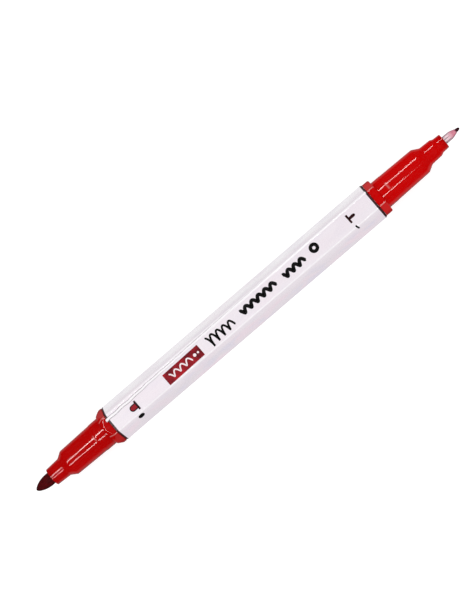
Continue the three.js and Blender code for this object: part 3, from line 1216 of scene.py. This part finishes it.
@dataclass
class Artwork:
    """Generic prints on the film: a panel, pen strokes of several widths, and tip signs.

    Places are (along, across) from the middle of the top flat: along X towards the fine nib,
    and across towards +Y, both turned by the skew at which the film was wrapped. They and the
    prints' own sizes are in millimetres.
    """

    film: Film
    skew: float = math.radians(1.15)
    relief: float = 0.014 * MM
    sink: float = 0.01 * MM
    columns: int = 5
    sharpest: float = 0.06
    disc_steps: int = 48
    disc_middle: float = 0.02
    wave_steps: int = 48
    wave_lean: float = 0.22
    blade_steps: int = 40
    stroke_steps: int = 24
    inks_and_gap_shades: dict[Ink, bpy.types.Material] = field(default_factory=dict)

    def onto_film(self, place: np.ndarray, lift: float) -> tuple[float, float, float]:
        """A place of the artwork in the pen's frame.

        Args:
            place: The place, along and across the artwork.
            lift: Height over the film.

        Returns:
            The point's coordinates.
        """
        set_out = self.film.set_out
        along, across = (float(v) * MM for v in place)
        walked = across * math.cos(self.skew) + along * math.sin(self.skew)
        x = set_out.middle_x + along * math.cos(self.skew) - across * math.sin(self.skew)
        foot, out = self.film.outline.walk(walked)
        spot = foot + out * lift
        return (x, spot.y, spot.z + set_out.axis_z)

    def lay(self, what: Print, grid: np.ndarray, joined: bool = False) -> None:
        """Makes a thin print from a grid of places and dresses it.

        Args:
            what: The print.
            grid: Places with shape (rows, columns, 2).
            joined: True joins the last row to the first, as for a ring.
        """
        if what.ink_and_gap_shade not in self.inks_and_gap_shades:
            self.inks_and_gap_shades[what.ink_and_gap_shade] = PrintInk("ink_" + what.ink_and_gap_shade.name.lower(), *what.ink_and_gap_shade.value).make()
        sides = [
            np.array([[self.onto_film(place, lift) for place in row] for row in grid])
            for lift in (self.relief * (what.layer + 1), -self.sink)
        ]
        dress(plate(what.name, *sides, joined, {}), self.inks_and_gap_shades[what.ink_and_gap_shade], "barrel", "label_film")

    def stroke(self, what: Print, line: np.ndarray, width: float) -> None:
        """Lays a pen stroke with round ends.

        Args:
            what: The print.
            line: The stroke's middle line, one place a row.
            width: Its width.
        """
        steps = np.linalg.norm(np.diff(line, axis=0), axis=1)
        run = np.concatenate([[0.0], np.cumsum(steps)])
        to_end = np.minimum(run, run[-1] - run)
        half = width / 2
        reach = half * np.maximum(quarter_round(to_end / half), self.sharpest)
        heading = np.gradient(line, axis=0)
        heading /= np.linalg.norm(heading, axis=1)[:, None]
        side = np.stack([-heading[:, 1], heading[:, 0]], axis=1)
        offsets = (reach[:, None] * np.linspace(-1, 1, self.columns))[:, :, None]
        self.lay(what, line[:, None, :] + side[:, None, :] * offsets)

    def wave(self, start: float, end: float, middle: float, swing: Pair, turns: float) -> np.ndarray:
        """The middle line of a wavy stroke.

        Args:
            start: Where it starts along the film.
            end: Where it ends.
            middle: Its place across the film.
            swing: How far it swings to each side, at its start and at its end.
            turns: How many waves it makes.

        Returns:
            Places along it.
        """
        share = np.linspace(0, 1, int(self.wave_steps * turns))
        depth = swing[0] + (swing[1] - swing[0]) * share
        phase = share * turns * TURN
        along = start + (end - start) * share + self.wave_lean * depth * np.sin(phase)
        return np.stack([along, middle + depth * np.cos(phase)], axis=1)

    def disc(self, what: Print, centre: Pair, radius: float, hole: float = 0.0) -> None:
        """Lays a round dot, or a ring.

        Args:
            what: The print.
            centre: Its centre.
            radius: Its outer radius.
            hole: The radius of a ring's hole.
        """
        turns = even_angles(self.disc_steps)
        out = np.stack([np.cos(turns), np.sin(turns)], axis=1)
        reach = np.linspace(max(hole, self.disc_middle * radius), radius, self.columns)
        self.lay(what, np.array(centre) + out[:, None, :] * reach[None, :, None], joined=True)

    def blade(self, what: Print, start: float, length: float, middle: float, half: Widths) -> None:
        """Lays a print along the film that is as wide as a formula says.

        Args:
            what: The print.
            start: Where it starts along the film.
            length: How long it is.
            middle: Its place across the film.
            half: Half its width for a share of its length.
        """
        share = 0.5 - 0.5 * np.cos(np.linspace(0, math.pi, self.blade_steps))
        along = np.repeat((start + length * share)[:, None], self.columns, 1)
        reach = half(share)[:, None] * np.linspace(-1, 1, self.columns)
        self.lay(what, np.stack([along, middle + reach], axis=2))

    def sample(self, what: Print, centre: Pair, run: Pair, width: float) -> None:
        """Lays a short straight stroke round a centre."""
        share = np.linspace(-0.5, 0.5, self.stroke_steps)[:, None]
        self.stroke(what, np.array(centre) + share * np.array(run), width)

    def panel(self) -> None:
        """A dark panel with a pale wavy stroke and two dots on it."""
        start, length, middle = -24.2, 11.08, -0.19
        end = start + length
        half, corner = 1.54, 0.12

        def side(share: np.ndarray) -> np.ndarray:
            """Half the panel's width, rounded at its corners."""
            near = np.minimum(share, 1 - share) * length
            return half - corner * (1 - quarter_round(near / corner))

        self.blade(Print("print_panel", Ink.MAROON), start, length, middle, side)
        line = self.wave(start + 1.3, end - 3.0, middle, (0.62, 0.62), 3.5)
        self.stroke(Print("print_panel_wave", Ink.PALE, 1), line, 0.36)
        for i, (before_end, radius) in enumerate(((1.95, 0.42), (0.9, 0.27)), 1):
            self.disc(Print(f"print_panel_dot_{i}", Ink.PALE, 1), (end - before_end, middle), radius)

    def strokes(self) -> None:
        """Sample strokes: a fine wave, two bold ones and a ring."""
        waves = {
            "print_fine_wave": (0.52, (-10.8, -2.8, -0.35, (1.5, 0.8), 4.5)),
            "print_bold_wave_1": (0.88, (-0.3, 10.8, -0.12, (0.6, 0.6), 5.5)),
            "print_bold_wave_2": (0.88, (13.1, 19.8, -0.4, (0.6, 0.6), 3.5)),
        }
        for name, (width, run) in waves.items():
            self.stroke(Print(name), self.wave(*run), width)
        self.disc(Print("print_dot"), (23.1, -0.06), 1.26, hole=0.42)

    def tip_signs(self) -> None:
        """A blunt and a slim tip sign, each with a short stroke as thick as its line."""
        tip, reach, across = -35.45, 1.83, 0.12
        half, rim, full_from, least = 0.8, 0.26, 0.45, 0.01
        bar, slim_bar, slim = tip + reach, 33.5, -0.5

        def dome(width: float) -> Widths:
            """Half widths of a shape that is round at its start and straight after that."""
            return lambda share: width * quarter_round(share / full_from) + least

        def even(width: float) -> Widths:
            """Half widths of a straight bar."""
            return lambda share: np.full_like(share, width)

        def slender(share: np.ndarray) -> np.ndarray:
            """Half widths of a shape that thickens a little and then closes."""
            return (0.3 + 0.14 * share) * np.sqrt(1 - share**5) + 0.02

        self.blade(Print("print_blunt_edge", Ink.DARK), tip, reach, across, dome(half))
        core = Print("print_blunt_tip", Ink.RED, 1)
        self.blade(core, tip + rim, reach - rim, across, dome(half - rim))
        self.blade(Print("print_blunt_bar", Ink.DARK), bar, 0.5, across, even(1.24))
        self.sample(Print("print_blunt_sample"), (-34.3, -2.95), (1.75, 0.3), 1.4)
        self.blade(Print("print_slim_bar", Ink.DARK), slim_bar, 0.52, slim, even(1.18))
        self.blade(Print("print_slim_tip", Ink.DARK), slim_bar + 0.4, 1.75, slim, slender)
        self.sample(Print("print_slim_sample"), (34.1, -3.45), (-0.3, 1.5), 0.45)

    def build(self) -> None:
        """Lays every print."""
        for group in (self.panel, self.strokes, self.tip_signs):
            group()


# ---- Nib holders and nibs ----


@dataclass
class Holder:
    """A nib holder: spigot, hexagonal flange, seal band, grip, shoulder, neck and channel."""

    set_out: SetOut
    end: End
    node: str
    body: str
    finish: GlossyRed
    flange_inset: float
    flange_length: float
    flange_chamfer: float
    flange_front: float
    band: float
    band_length: float
    band_step: float
    grip: float
    grip_length: float
    shoulder_length: float
    neck: float
    channel: float
    # How strongly a highlight is painted on the flange's corners, and the angles between which one is
    # painted along the band's step.
    corner_glint: float
    step_glint: Pair
    nose_stops: list[Stop]
    fillet: float = 0.1 * MM
    spigot: float = 3.4 * MM
    spigot_length: float = 8.5 * MM
    spigot_lead: float = 0.4 * MM
    lead_rounds: Pair = (0.1 * MM, 0.15 * MM)
    groove: float = 0.1 * MM
    groove_halves: Pair = (0.15 * MM, 0.3 * MM)
    groove_round: float = 0.08 * MM
    chamber: float = 2.6 * MM
    chamber_cone: float = 1.2 * MM
    chamber_lip: float = 0.1 * MM
    corner: float = 0.65 * MM
    sharp_corner: float = 0.001 * MM
    edge: float = 0.12 * MM
    cone_blend: float = 0.1 * MM
    flange_rings: int = 20
    vent_depth: float = 0.3 * MM
    vent_width: float = 0.45 * MM
    vent_flank: float = 0.15
    channel_length: float = 9.0 * MM
    mould_line: float = 0.02 * MM
    mould_line_width: float = math.radians(0.9)
    mould_line_rings: tuple[float, float, float] = (0.45, 0.9, 1.8)
    step_slope: float = 3.0
    step_round: float = 0.14 * MM
    step_clear: float = 0.5 * MM
    fillet_clear: float = 0.02 * MM
    shoulder_meet: float = 0.1
    meet_round: float = 1.3
    nose_edge: float = 0.08 * MM
    # Width, strength, length and fade of the painted highlights.
    glint_width: float = math.radians(2.2)
    step_glint_strength: float = 0.45
    step_glint_length: float = 0.12 * MM
    step_glint_fade: float = math.radians(3.0)
    seat: float = 0.02 * MM

    @property
    def nose(self) -> float:
        """Height of the nose over the barrel's face."""
        return self.set_out.outward(self.node, self.end)

    @property
    def vent_half_angle(self) -> float:
        """Half the angle that a vent groove takes up, at half its depth."""
        return self.vent_width / 2 / (self.channel + self.vent_depth / 2)

    def with_mould_line(self, angles: np.ndarray) -> Rings:
        """Rings that carry a fine raised line where the halves of the mould met."""
        ridge = self.mould_line * np.exp(-((off_nearest(angles, math.pi) / self.mould_line_width) ** 2))
        return lambda height, radius: radius + ridge

    def vented(self, angles: np.ndarray) -> Rings:
        """Rings of the channel, with the vent grooves round the nib.

        Args:
            angles: The angles of a ring's vertices.

        Returns:
            The radius at each angle, for a height and a radius.
        """
        off = off_nearest(angles - QUARTER / 2, QUARTER)
        half, flank = self.vent_half_angle, self.vent_flank
        floor = np.clip((half * (1 + flank) - off) / (half * 2 * flank), 0.0, 1.0)
        return lambda height, radius: np.maximum(radius, self.channel + self.vent_depth * floor)

    def flange_side(self, angles: np.ndarray, height: float) -> np.ndarray:
        """The flange's outline, with rounded edges and a coned front.

        Args:
            angles: The angles of a ring's vertices.
            height: The ring's height.

        Returns:
            The radius at each angle.
        """
        reach = self.set_out.film_reach - self.flange_inset
        ring = Hexagon(reach, self.corner).radius(angles)
        corner = Hexagon(reach, self.sharp_corner).radius(np.zeros(1))[0]
        past = max(0.0, height - (self.flange_length - self.flange_chamfer)) / self.flange_chamfer
        if past > 0:
            ring = soft_least(ring, corner + (self.flange_front - corner) * past, self.cone_blend)
        near = min(height - self.seat, self.flange_length - height)
        return ring - self.edge * (1 - quarter_round(near / self.edge))

    def flange(self, stack: RingStack) -> None:
        """Adds the flange's rings, from the spigot to the band.

        Args:
            stack: The holder's rings.
        """
        length, edge, drop = self.flange_length, self.edge, self.fillet
        back, front = (self.flange_side(stack.angles, height) for height in (self.seat, length))
        inner = np.full_like(back, self.spigot)
        stack.add(self.seat, inner)
        stack.add_face(self.seat, inner, back, steps=3)
        arc = np.linspace(0, QUARTER, ARC_STEPS)
        rounds = edge * (1 - np.cos(arc))
        body = np.linspace(self.seat + edge, length - edge, self.flange_rings + 2)[1:-1]
        for height in (*(self.seat + rounds), *body, *(length - rounds[::-1])):
            stack.add(height, self.flange_side(stack.angles, height))
        stack.add_face(length, front, np.full_like(front, self.band + drop), steps=4)
        for turn in arc:
            stack.add(length + drop * (1 - math.cos(turn)), self.band + drop * (1 - math.sin(turn)))

    def outside(self, stack: RingStack) -> None:
        """Adds everything outside, from the spigot's inner edge to the nose.

        Args:
            stack: The holder's rings.
        """
        tail, lead, deep = -self.spigot_length, self.spigot_lead, self.spigot - self.groove
        stops = [
            Stop(tail, self.chamber + self.chamber_lip),
            Stop(tail, self.spigot - lead, self.lead_rounds[0]),
            Stop(tail + lead, self.spigot, self.lead_rounds[1]),
        ]
        floor, mouth = self.groove_halves
        groove = ((-mouth, self.spigot), (-floor, deep), (floor, deep), (mouth, self.spigot))
        for middle in (tail * 2 / 3, tail / 3):
            stops += [Stop(middle + off, radius, self.groove_round) for off, radius in groove]
        stack.add_outline([*stops, Stop(0.0, self.spigot)])
        self.flange(stack)
        band_end = self.flange_length + self.band_length
        grip_end = band_end + self.grip_length
        meet = self.shoulder_meet * self.shoulder_length
        grip_start = self.band - self.band_step
        step_start = band_end - self.step_slope * self.band_step
        past_step = grip_start - (grip_start - self.grip) * self.step_clear / self.grip_length
        stops = [
            Stop(self.flange_length + self.fillet + self.fillet_clear, self.band),
            Stop(step_start - self.step_clear, self.band),
            Stop(step_start, self.band, self.step_round),
            Stop(band_end, grip_start, self.step_round),
            Stop(band_end + self.step_clear, past_step),
            Stop(grip_end + meet, self.grip, self.meet_round * meet),
            Stop(grip_end + self.shoulder_length - meet, self.neck, self.meet_round * meet),
        ]
        stack.add_outline([*stops, *self.nose_stops], self.with_mould_line(stack.angles))

    def inside(self, stack: RingStack) -> None:
        """Adds the channel and the air chamber, from the nose back to the spigot.

        Args:
            stack: The holder's rings.
        """
        edge = self.nose_edge
        channel_start = self.nose - self.channel_length
        stops = [Stop(self.nose, self.channel + edge), Stop(self.nose - edge, self.channel)]
        stack.add_outline([*stops, Stop(channel_start, self.channel)], self.vented(stack.angles))
        stack.add(channel_start - self.chamber_cone, self.chamber)
        stack.add(self.chamber_lip - self.spigot_length, self.chamber)

    def painted_glints(self, stack: RingStack) -> np.ndarray:
        """How strongly each vertex carries a painted highlight: the flange's corners, and the band's
        step along its top.

        Args:
            stack: The holder's rings.

        Returns:
            0 to 1, with a row for each ring.
        """
        heights, angles = np.array(stack.heights), stack.angles
        on_flange = (heights > self.seat) & (heights < self.flange_length)
        corners = np.outer(self.corner_glint * on_flange, nearness(angles, SIXTH, self.glint_width))
        off_step = heights - (self.flange_length + self.band_length)
        on_step = self.step_glint_strength * np.exp(-((off_step / self.step_glint_length) ** 2))
        start, end = np.radians(self.step_glint)
        inside = np.clip(np.minimum(angles - start, end - angles) / self.step_glint_fade, 0, 1)
        return np.maximum(corners, np.outer(on_step, inside))

    def build(self) -> None:
        """Builds and dresses the holder."""
        ridge = QUARTER + np.outer(np.radians(self.mould_line_rings), (-1, 1)).ravel()
        flanks = self.vent_half_angle * np.array([1 - self.vent_flank, 1 + self.vent_flank])
        middles = QUARTER * (np.arange(4) + 0.5)
        vents = (middles[:, None] + np.outer(flanks, (-1, 1)).ravel()).ravel()
        angles = np.unique(np.round(np.concatenate([spread_angles(), ridge, vents]), 6))
        stack = RingStack(self.set_out, self.end, angles)
        self.outside(stack)
        self.inside(stack)
        holder = stack.skin(self.body + "_body", hollow=True)
        # Painted highlights on the flange's corners and along the band's step.
        add_mark(holder.data, "worn", self.painted_glints(stack))
        dress(holder, self.finish.make(), self.body, "holder_plastic", self.node)


def bullet_holder(set_out: SetOut) -> Holder:
    """The holder of the bullet nib.

    Args:
        set_out: The pen's places.

    Returns:
        The holder.
    """
    node, end = "bullet_nib_holder", End.BULLET
    nose = set_out.outward(node, end)
    finish = GlossyRed("red_plastic_bullet", (0.47, 0.0008, 0.0008), (0.39, 0.0006, 0.0006), nose)
    return Holder(
        set_out, end, node, "bullet_holder", finish,
        flange_inset=0.0,
        flange_length=2.2 * MM,
        flange_chamfer=1.55 * MM,
        flange_front=4.17 * MM,
        band=3.81 * MM,
        band_length=3.05 * MM,
        band_step=0.09 * MM,
        grip=3.54 * MM,
        grip_length=8.8 * MM,
        shoulder_length=2.05 * MM,
        neck=2.5 * MM,
        channel=1.625 * MM,
        corner_glint=0.6,
        step_glint=(77.0, 103.0),
        nose_stops=[Stop(nose, 2.3 * MM, 0.3 * MM), Stop(nose, 2.0 * MM)],
    )


def fine_holder(set_out: SetOut) -> Holder:
    """The holder of the fine nib, with a slimmer nose beyond its neck.

    Args:
        set_out: The pen's places.

    Returns:
        The holder.
    """
    node, end = "fine_nib_holder", End.FINE
    nose = set_out.outward(node, end)
    finish = GlossyRed("red_plastic_fine", (0.58, 0.0007, 0.0007), (0.50, 0.0006, 0.0006), nose)
    return Holder(
        set_out, end, node, "fine_holder", finish,
        flange_inset=0.215 * MM,
        flange_length=1.95 * MM,
        flange_chamfer=0.35 * MM,
        flange_front=4.42 * MM,
        band=3.69 * MM,
        band_length=2.58 * MM,
        band_step=0.05 * MM,
        grip=3.465 * MM,
        grip_length=9.62 * MM,
        shoulder_length=2.2 * MM,
        neck=2.46 * MM,
        channel=1.04 * MM,
        corner_glint=0.8,
        step_glint=(69.0, 101.0),
        nose_stops=[
            Stop(nose - 2.63 * MM, 2.35 * MM, 0.12 * MM),
            Stop(nose - 1.93 * MM, 2.0 * MM, 0.12 * MM),
            Stop(nose, 1.9 * MM, 0.3 * MM),
            Stop(nose, 1.5 * MM),
        ],
        fillet=0.2 * MM,
    )


@dataclass
class BulletNib:
    """The rod of bonded fibre with a rounded point."""

    set_out: SetOut
    radius: float = 1.575 * MM
    ogive: float = 3.8 * MM
    tail: float = -14.5 * MM
    tail_point: float = 1.5 * MM
    tail_tip: float = 0.8 * MM
    # How far back from the tip the colour is darker.
    dark_tip_length: float = 1.5 * MM
    turns: int = 96
    steps: int = 28

    def build(self) -> None:
        """Builds and dresses the nib."""
        tip = self.set_out.outward("bullet_nib", End.BULLET)
        stack = RingStack(self.set_out, End.BULLET, even_angles(self.turns))
        stack.add_outline([
            Stop(self.tail, 0.3 * MM),
            Stop(self.tail, self.tail_tip, 0.25 * MM),
            Stop(self.tail + self.tail_point, self.radius, 0.4 * MM),
            Stop(tip - self.ogive - 0.01 * MM, self.radius),
        ])
        stack.add_point(tip, self.ogive, self.radius, self.steps, 0.01 * MM)
        wet, dark = (0.095, 0.002, 0.003), (0.035, 0.001, 0.002)
        felt = SoakedFibre("bullet_felt", wet, dark, 0.11, tip=(tip - self.dark_tip_length, tip)).make()
        nib = stack.skin("bullet_nib_rod", hollow=False)
        dress(nib, felt, "bullet_nib", "bullet_felt", "bullet_nib")


@dataclass
class FineNib:
    """The plastic sheath and the thin fibre core of the fine nib."""

    set_out: SetOut
    radius: float = 0.99 * MM
    cone: float = 1.55 * MM
    mouth: float = 0.52 * MM
    bore: float = 0.45 * MM
    tail: float = -8.5 * MM
    lines: int = 8
    line_half_width: float = math.radians(11.0)
    core: float = 0.42 * MM
    core_point: float = 0.75 * MM
    core_tail: float = -14.5 * MM
    # How far back from the tip the colour is darker.
    dark_tip_length: float = 0.6 * MM
    turns: int = 64
    steps: int = 16

    def sheath(self) -> None:
        """Builds and dresses the sheath."""
        tip = self.set_out.outward("fine_nib_sheath", End.FINE)
        nose = self.set_out.outward("fine_nib_holder", End.FINE)
        near_mouth = 0.35
        bulge = self.mouth + near_mouth * (self.radius - self.mouth) + 0.03 * MM
        stack = RingStack(self.set_out, End.FINE, even_angles(self.turns))
        stack.add_outline([
            Stop(self.tail, self.bore + 0.05 * MM),
            Stop(self.tail, self.radius, 0.12 * MM),
            Stop(tip - self.cone, self.radius, 0.35 * MM),
            Stop(tip - near_mouth * self.cone, bulge, 0.4 * MM),
            Stop(tip, self.mouth, 0.06 * MM),
            Stop(tip, self.bore + 0.02 * MM, 0.02 * MM),
            Stop(tip - 0.1 * MM, self.bore),
            Stop(self.tail + 0.1 * MM, self.bore),
        ])
        sheath = stack.skin("fine_nib_sleeve", hollow=True)
        lined = nearness(stack.angles, TURN / self.lines, self.line_half_width)
        add_mark(sheath.data, "line", np.tile(lined, len(stack.heights)))
        finish = StainedSheath("sheath_plastic", tip, nose).make()
        dress(sheath, finish, "fine_nib", "sheath_plastic", "fine_nib_sheath")

    def point(self) -> None:
        """Builds and dresses the core."""
        tip = self.set_out.outward("fine_nib_core", End.FINE)
        stack = RingStack(self.set_out, End.FINE, even_angles(self.turns))
        stack.add_outline([
            Stop(self.core_tail, 0.08 * MM),
            Stop(self.core_tail, 0.2 * MM, 0.06 * MM),
            Stop(self.core_tail + 1.5 * MM, self.core, 0.3 * MM),
            Stop(tip - self.core_point - 0.01 * MM, self.core),
        ])
        stack.add_point(tip, self.core_point, self.core, self.steps, 0.004 * MM)
        wet, dark, darkened = (0.055, 0.010, 0.017), (0.022, 0.006, 0.010), (tip - self.dark_tip_length, tip)
        fibre = SoakedFibre("core_fibre", wet, dark, 0.07, relief=0.006 * MM, tip=darkened).make()
        core = stack.skin("fine_nib_point", hollow=False)
        dress(core, fibre, "fine_nib", "core_fibre", "fine_nib_core")

    def build(self) -> None:
        """Builds both pieces."""
        self.sheath()
        self.point()


# ---- Studio ----


@dataclass
class Strip:
    """A thin strip light over the pen, between two places, that is only seen in reflections."""

    name: str
    start: Vector
    end: Vector
    radiance: float
    width: float = 0.036

    def build(self) -> None:
        """Builds the light."""
        run = self.end - self.start
        light = bpy.data.lights.new(self.name, "AREA")
        light.shape = "RECTANGLE"
        light.size, light.size_y = run.length, self.width
        light.energy = self.radiance * math.pi * run.length * self.width
        lamp = bpy.data.objects.new(self.name, light)
        middle = (self.start + self.end) / 2
        along = run.normalized()
        across = middle.cross(along).normalized()
        basis = Matrix((along, across, along.cross(across))).transposed()
        lamp.matrix_world = Matrix.Translation(middle) @ basis.to_4x4()
        lamp.visible_diffuse = False
        bpy.context.scene.collection.objects.link(lamp)
        return lamp


@dataclass
class Studio:
    """The floor, the lights and the camera."""

    stand: Vector = Vector((41.5, -60.03, 585.27)) * MM
    aim: Vector = Vector((0.538, 4.112, 4.36)) * MM
    roll: float = math.radians(40.671)
    lens: float = 148.718
    sensor: float = 36.0
    clip: Pair = (0.01, 20.0)
    floor_half: float = 3.0
    floor_greys: Pair = (0.46, 0.48)
    floor_glow: float = 0.72
    light: Span = (-0.2, 0.2, 1.2, 1.3)
    gloss: Span = (-0.5, -0.2, 0.35, 0.012)
    strips: tuple[Strip, ...] = (
        Strip("strip_far", Vector((-0.34, -0.040, 0.5)), Vector((0.26, 0.457, 0.5)), 20.0),
        Strip("strip_near", Vector((-0.34, -0.212, 0.5)), Vector((0.085, -0.242, 0.5)), 18.0),
    )

    def floor(self) -> None:
        """A plain pale floor that takes hardly any shadow."""
        half = self.floor_half
        places = [(-half, -half, 0.0), (half, -half, 0.0), (half, half, 0.0), (-half, half, 0.0)]
        mesh = bpy.data.meshes.new("floor")
        mesh.from_pydata(places, [], [(0, 1, 2, 3)])
        floor = bpy.data.objects.new("floor", mesh)
        bpy.context.scene.collection.objects.link(floor)
        sheet = NodeSheet(bpy.data.materials.new("floor_white"))
        dark, light = ((grey, grey, grey) for grey in self.floor_greys)
        mesh.materials.append(sheet.finish({
            "Base Color": sheet.mix(dark, (light, sheet.noise(Noise(0.02)))),
            "Roughness": 0.9,
            "Specular IOR Level": 0.0,
            "Emission Color": (1.0, 1.0, 1.0),
            "Emission Strength": self.floor_glow,
        }))
        floor.visible_diffuse = False
        floor.visible_glossy = False

    def dome(self) -> None:
        """Soft light from all round, and a dark sky over a pale ground in reflections."""
        world = bpy.data.worlds.new("studio")
        bpy.context.scene.world = world
        sheet = NodeSheet(world)
        way = sheet.add("TexCoord", {}).outputs["Generated"]
        rise = sheet.add("SeparateXYZ", {0: way}).outputs["Z"]
        diffuse, glossy = (sheet.span(rise, *span) for span in (self.light, self.gloss))
        for strength in (diffuse, glossy):
            strength.node.interpolation_type = "SMOOTHSTEP"
        is_glossy = sheet.add("LightPath", {}).outputs["Is Glossy Ray"]
        level = sheet.add("Mix", {"Factor": is_glossy, "A": diffuse, "B": glossy})
        light = sheet.add("Background", {"Strength": level.outputs["Result"]})
        sheet.add("OutputWorld", {"Surface": light.outputs[0]})

    def camera(self) -> None:
        """A long lens high over the pen, turned so that the pen runs up to the right."""
        camera = bpy.data.cameras.new("camera")
        camera.lens, camera.sensor_width = self.lens, self.sensor
        camera.clip_start, camera.clip_end = self.clip
        holder = bpy.data.objects.new("camera", camera)
        bpy.context.scene.collection.objects.link(holder)
        ahead = (self.aim - self.stand).normalized()
        right = Vector((1.0, 0.0, 0.0))
        right = (right - ahead * right.dot(ahead)).normalized()
        up = right.cross(ahead)
        turned_right = right * math.cos(self.roll) - up * math.sin(self.roll)
        turned_up = right * math.sin(self.roll) + up * math.cos(self.roll)
        basis = Matrix((turned_right, turned_up, -ahead)).transposed()
        holder.matrix_world = Matrix.Translation(self.stand) @ basis.to_4x4()
        bpy.context.scene.camera = holder

    def build(self) -> None:
        """Builds the whole studio."""
        self.floor()
        self.dome()
        for strip in self.strips:
            strip.build()
        self.camera()
        bpy.context.scene.view_settings.view_transform = "Standard"


def corners(box: tuple[Vector, Vector]) -> list[list[float]]:
    """A box as plain lists of numbers."""
    return [[float(v) for v in corner] for corner in box]


def main() -> None:
    """Builds the pen and its studio."""
    logging.basicConfig(level=logging.INFO, format="%(message)s")
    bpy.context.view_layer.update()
    set_out = SetOut.from_frame()
    Studio().build()
    Barrel(set_out).build()
    Reservoir(set_out).build()
    film = Film(set_out)
    film.build()
    Artwork(film).build()
    bullet_holder(set_out).build()
    BulletNib(set_out).build()
    fine_holder(set_out).build()
    FineNib(set_out).build()


if __name__ == "__main__":
    main()
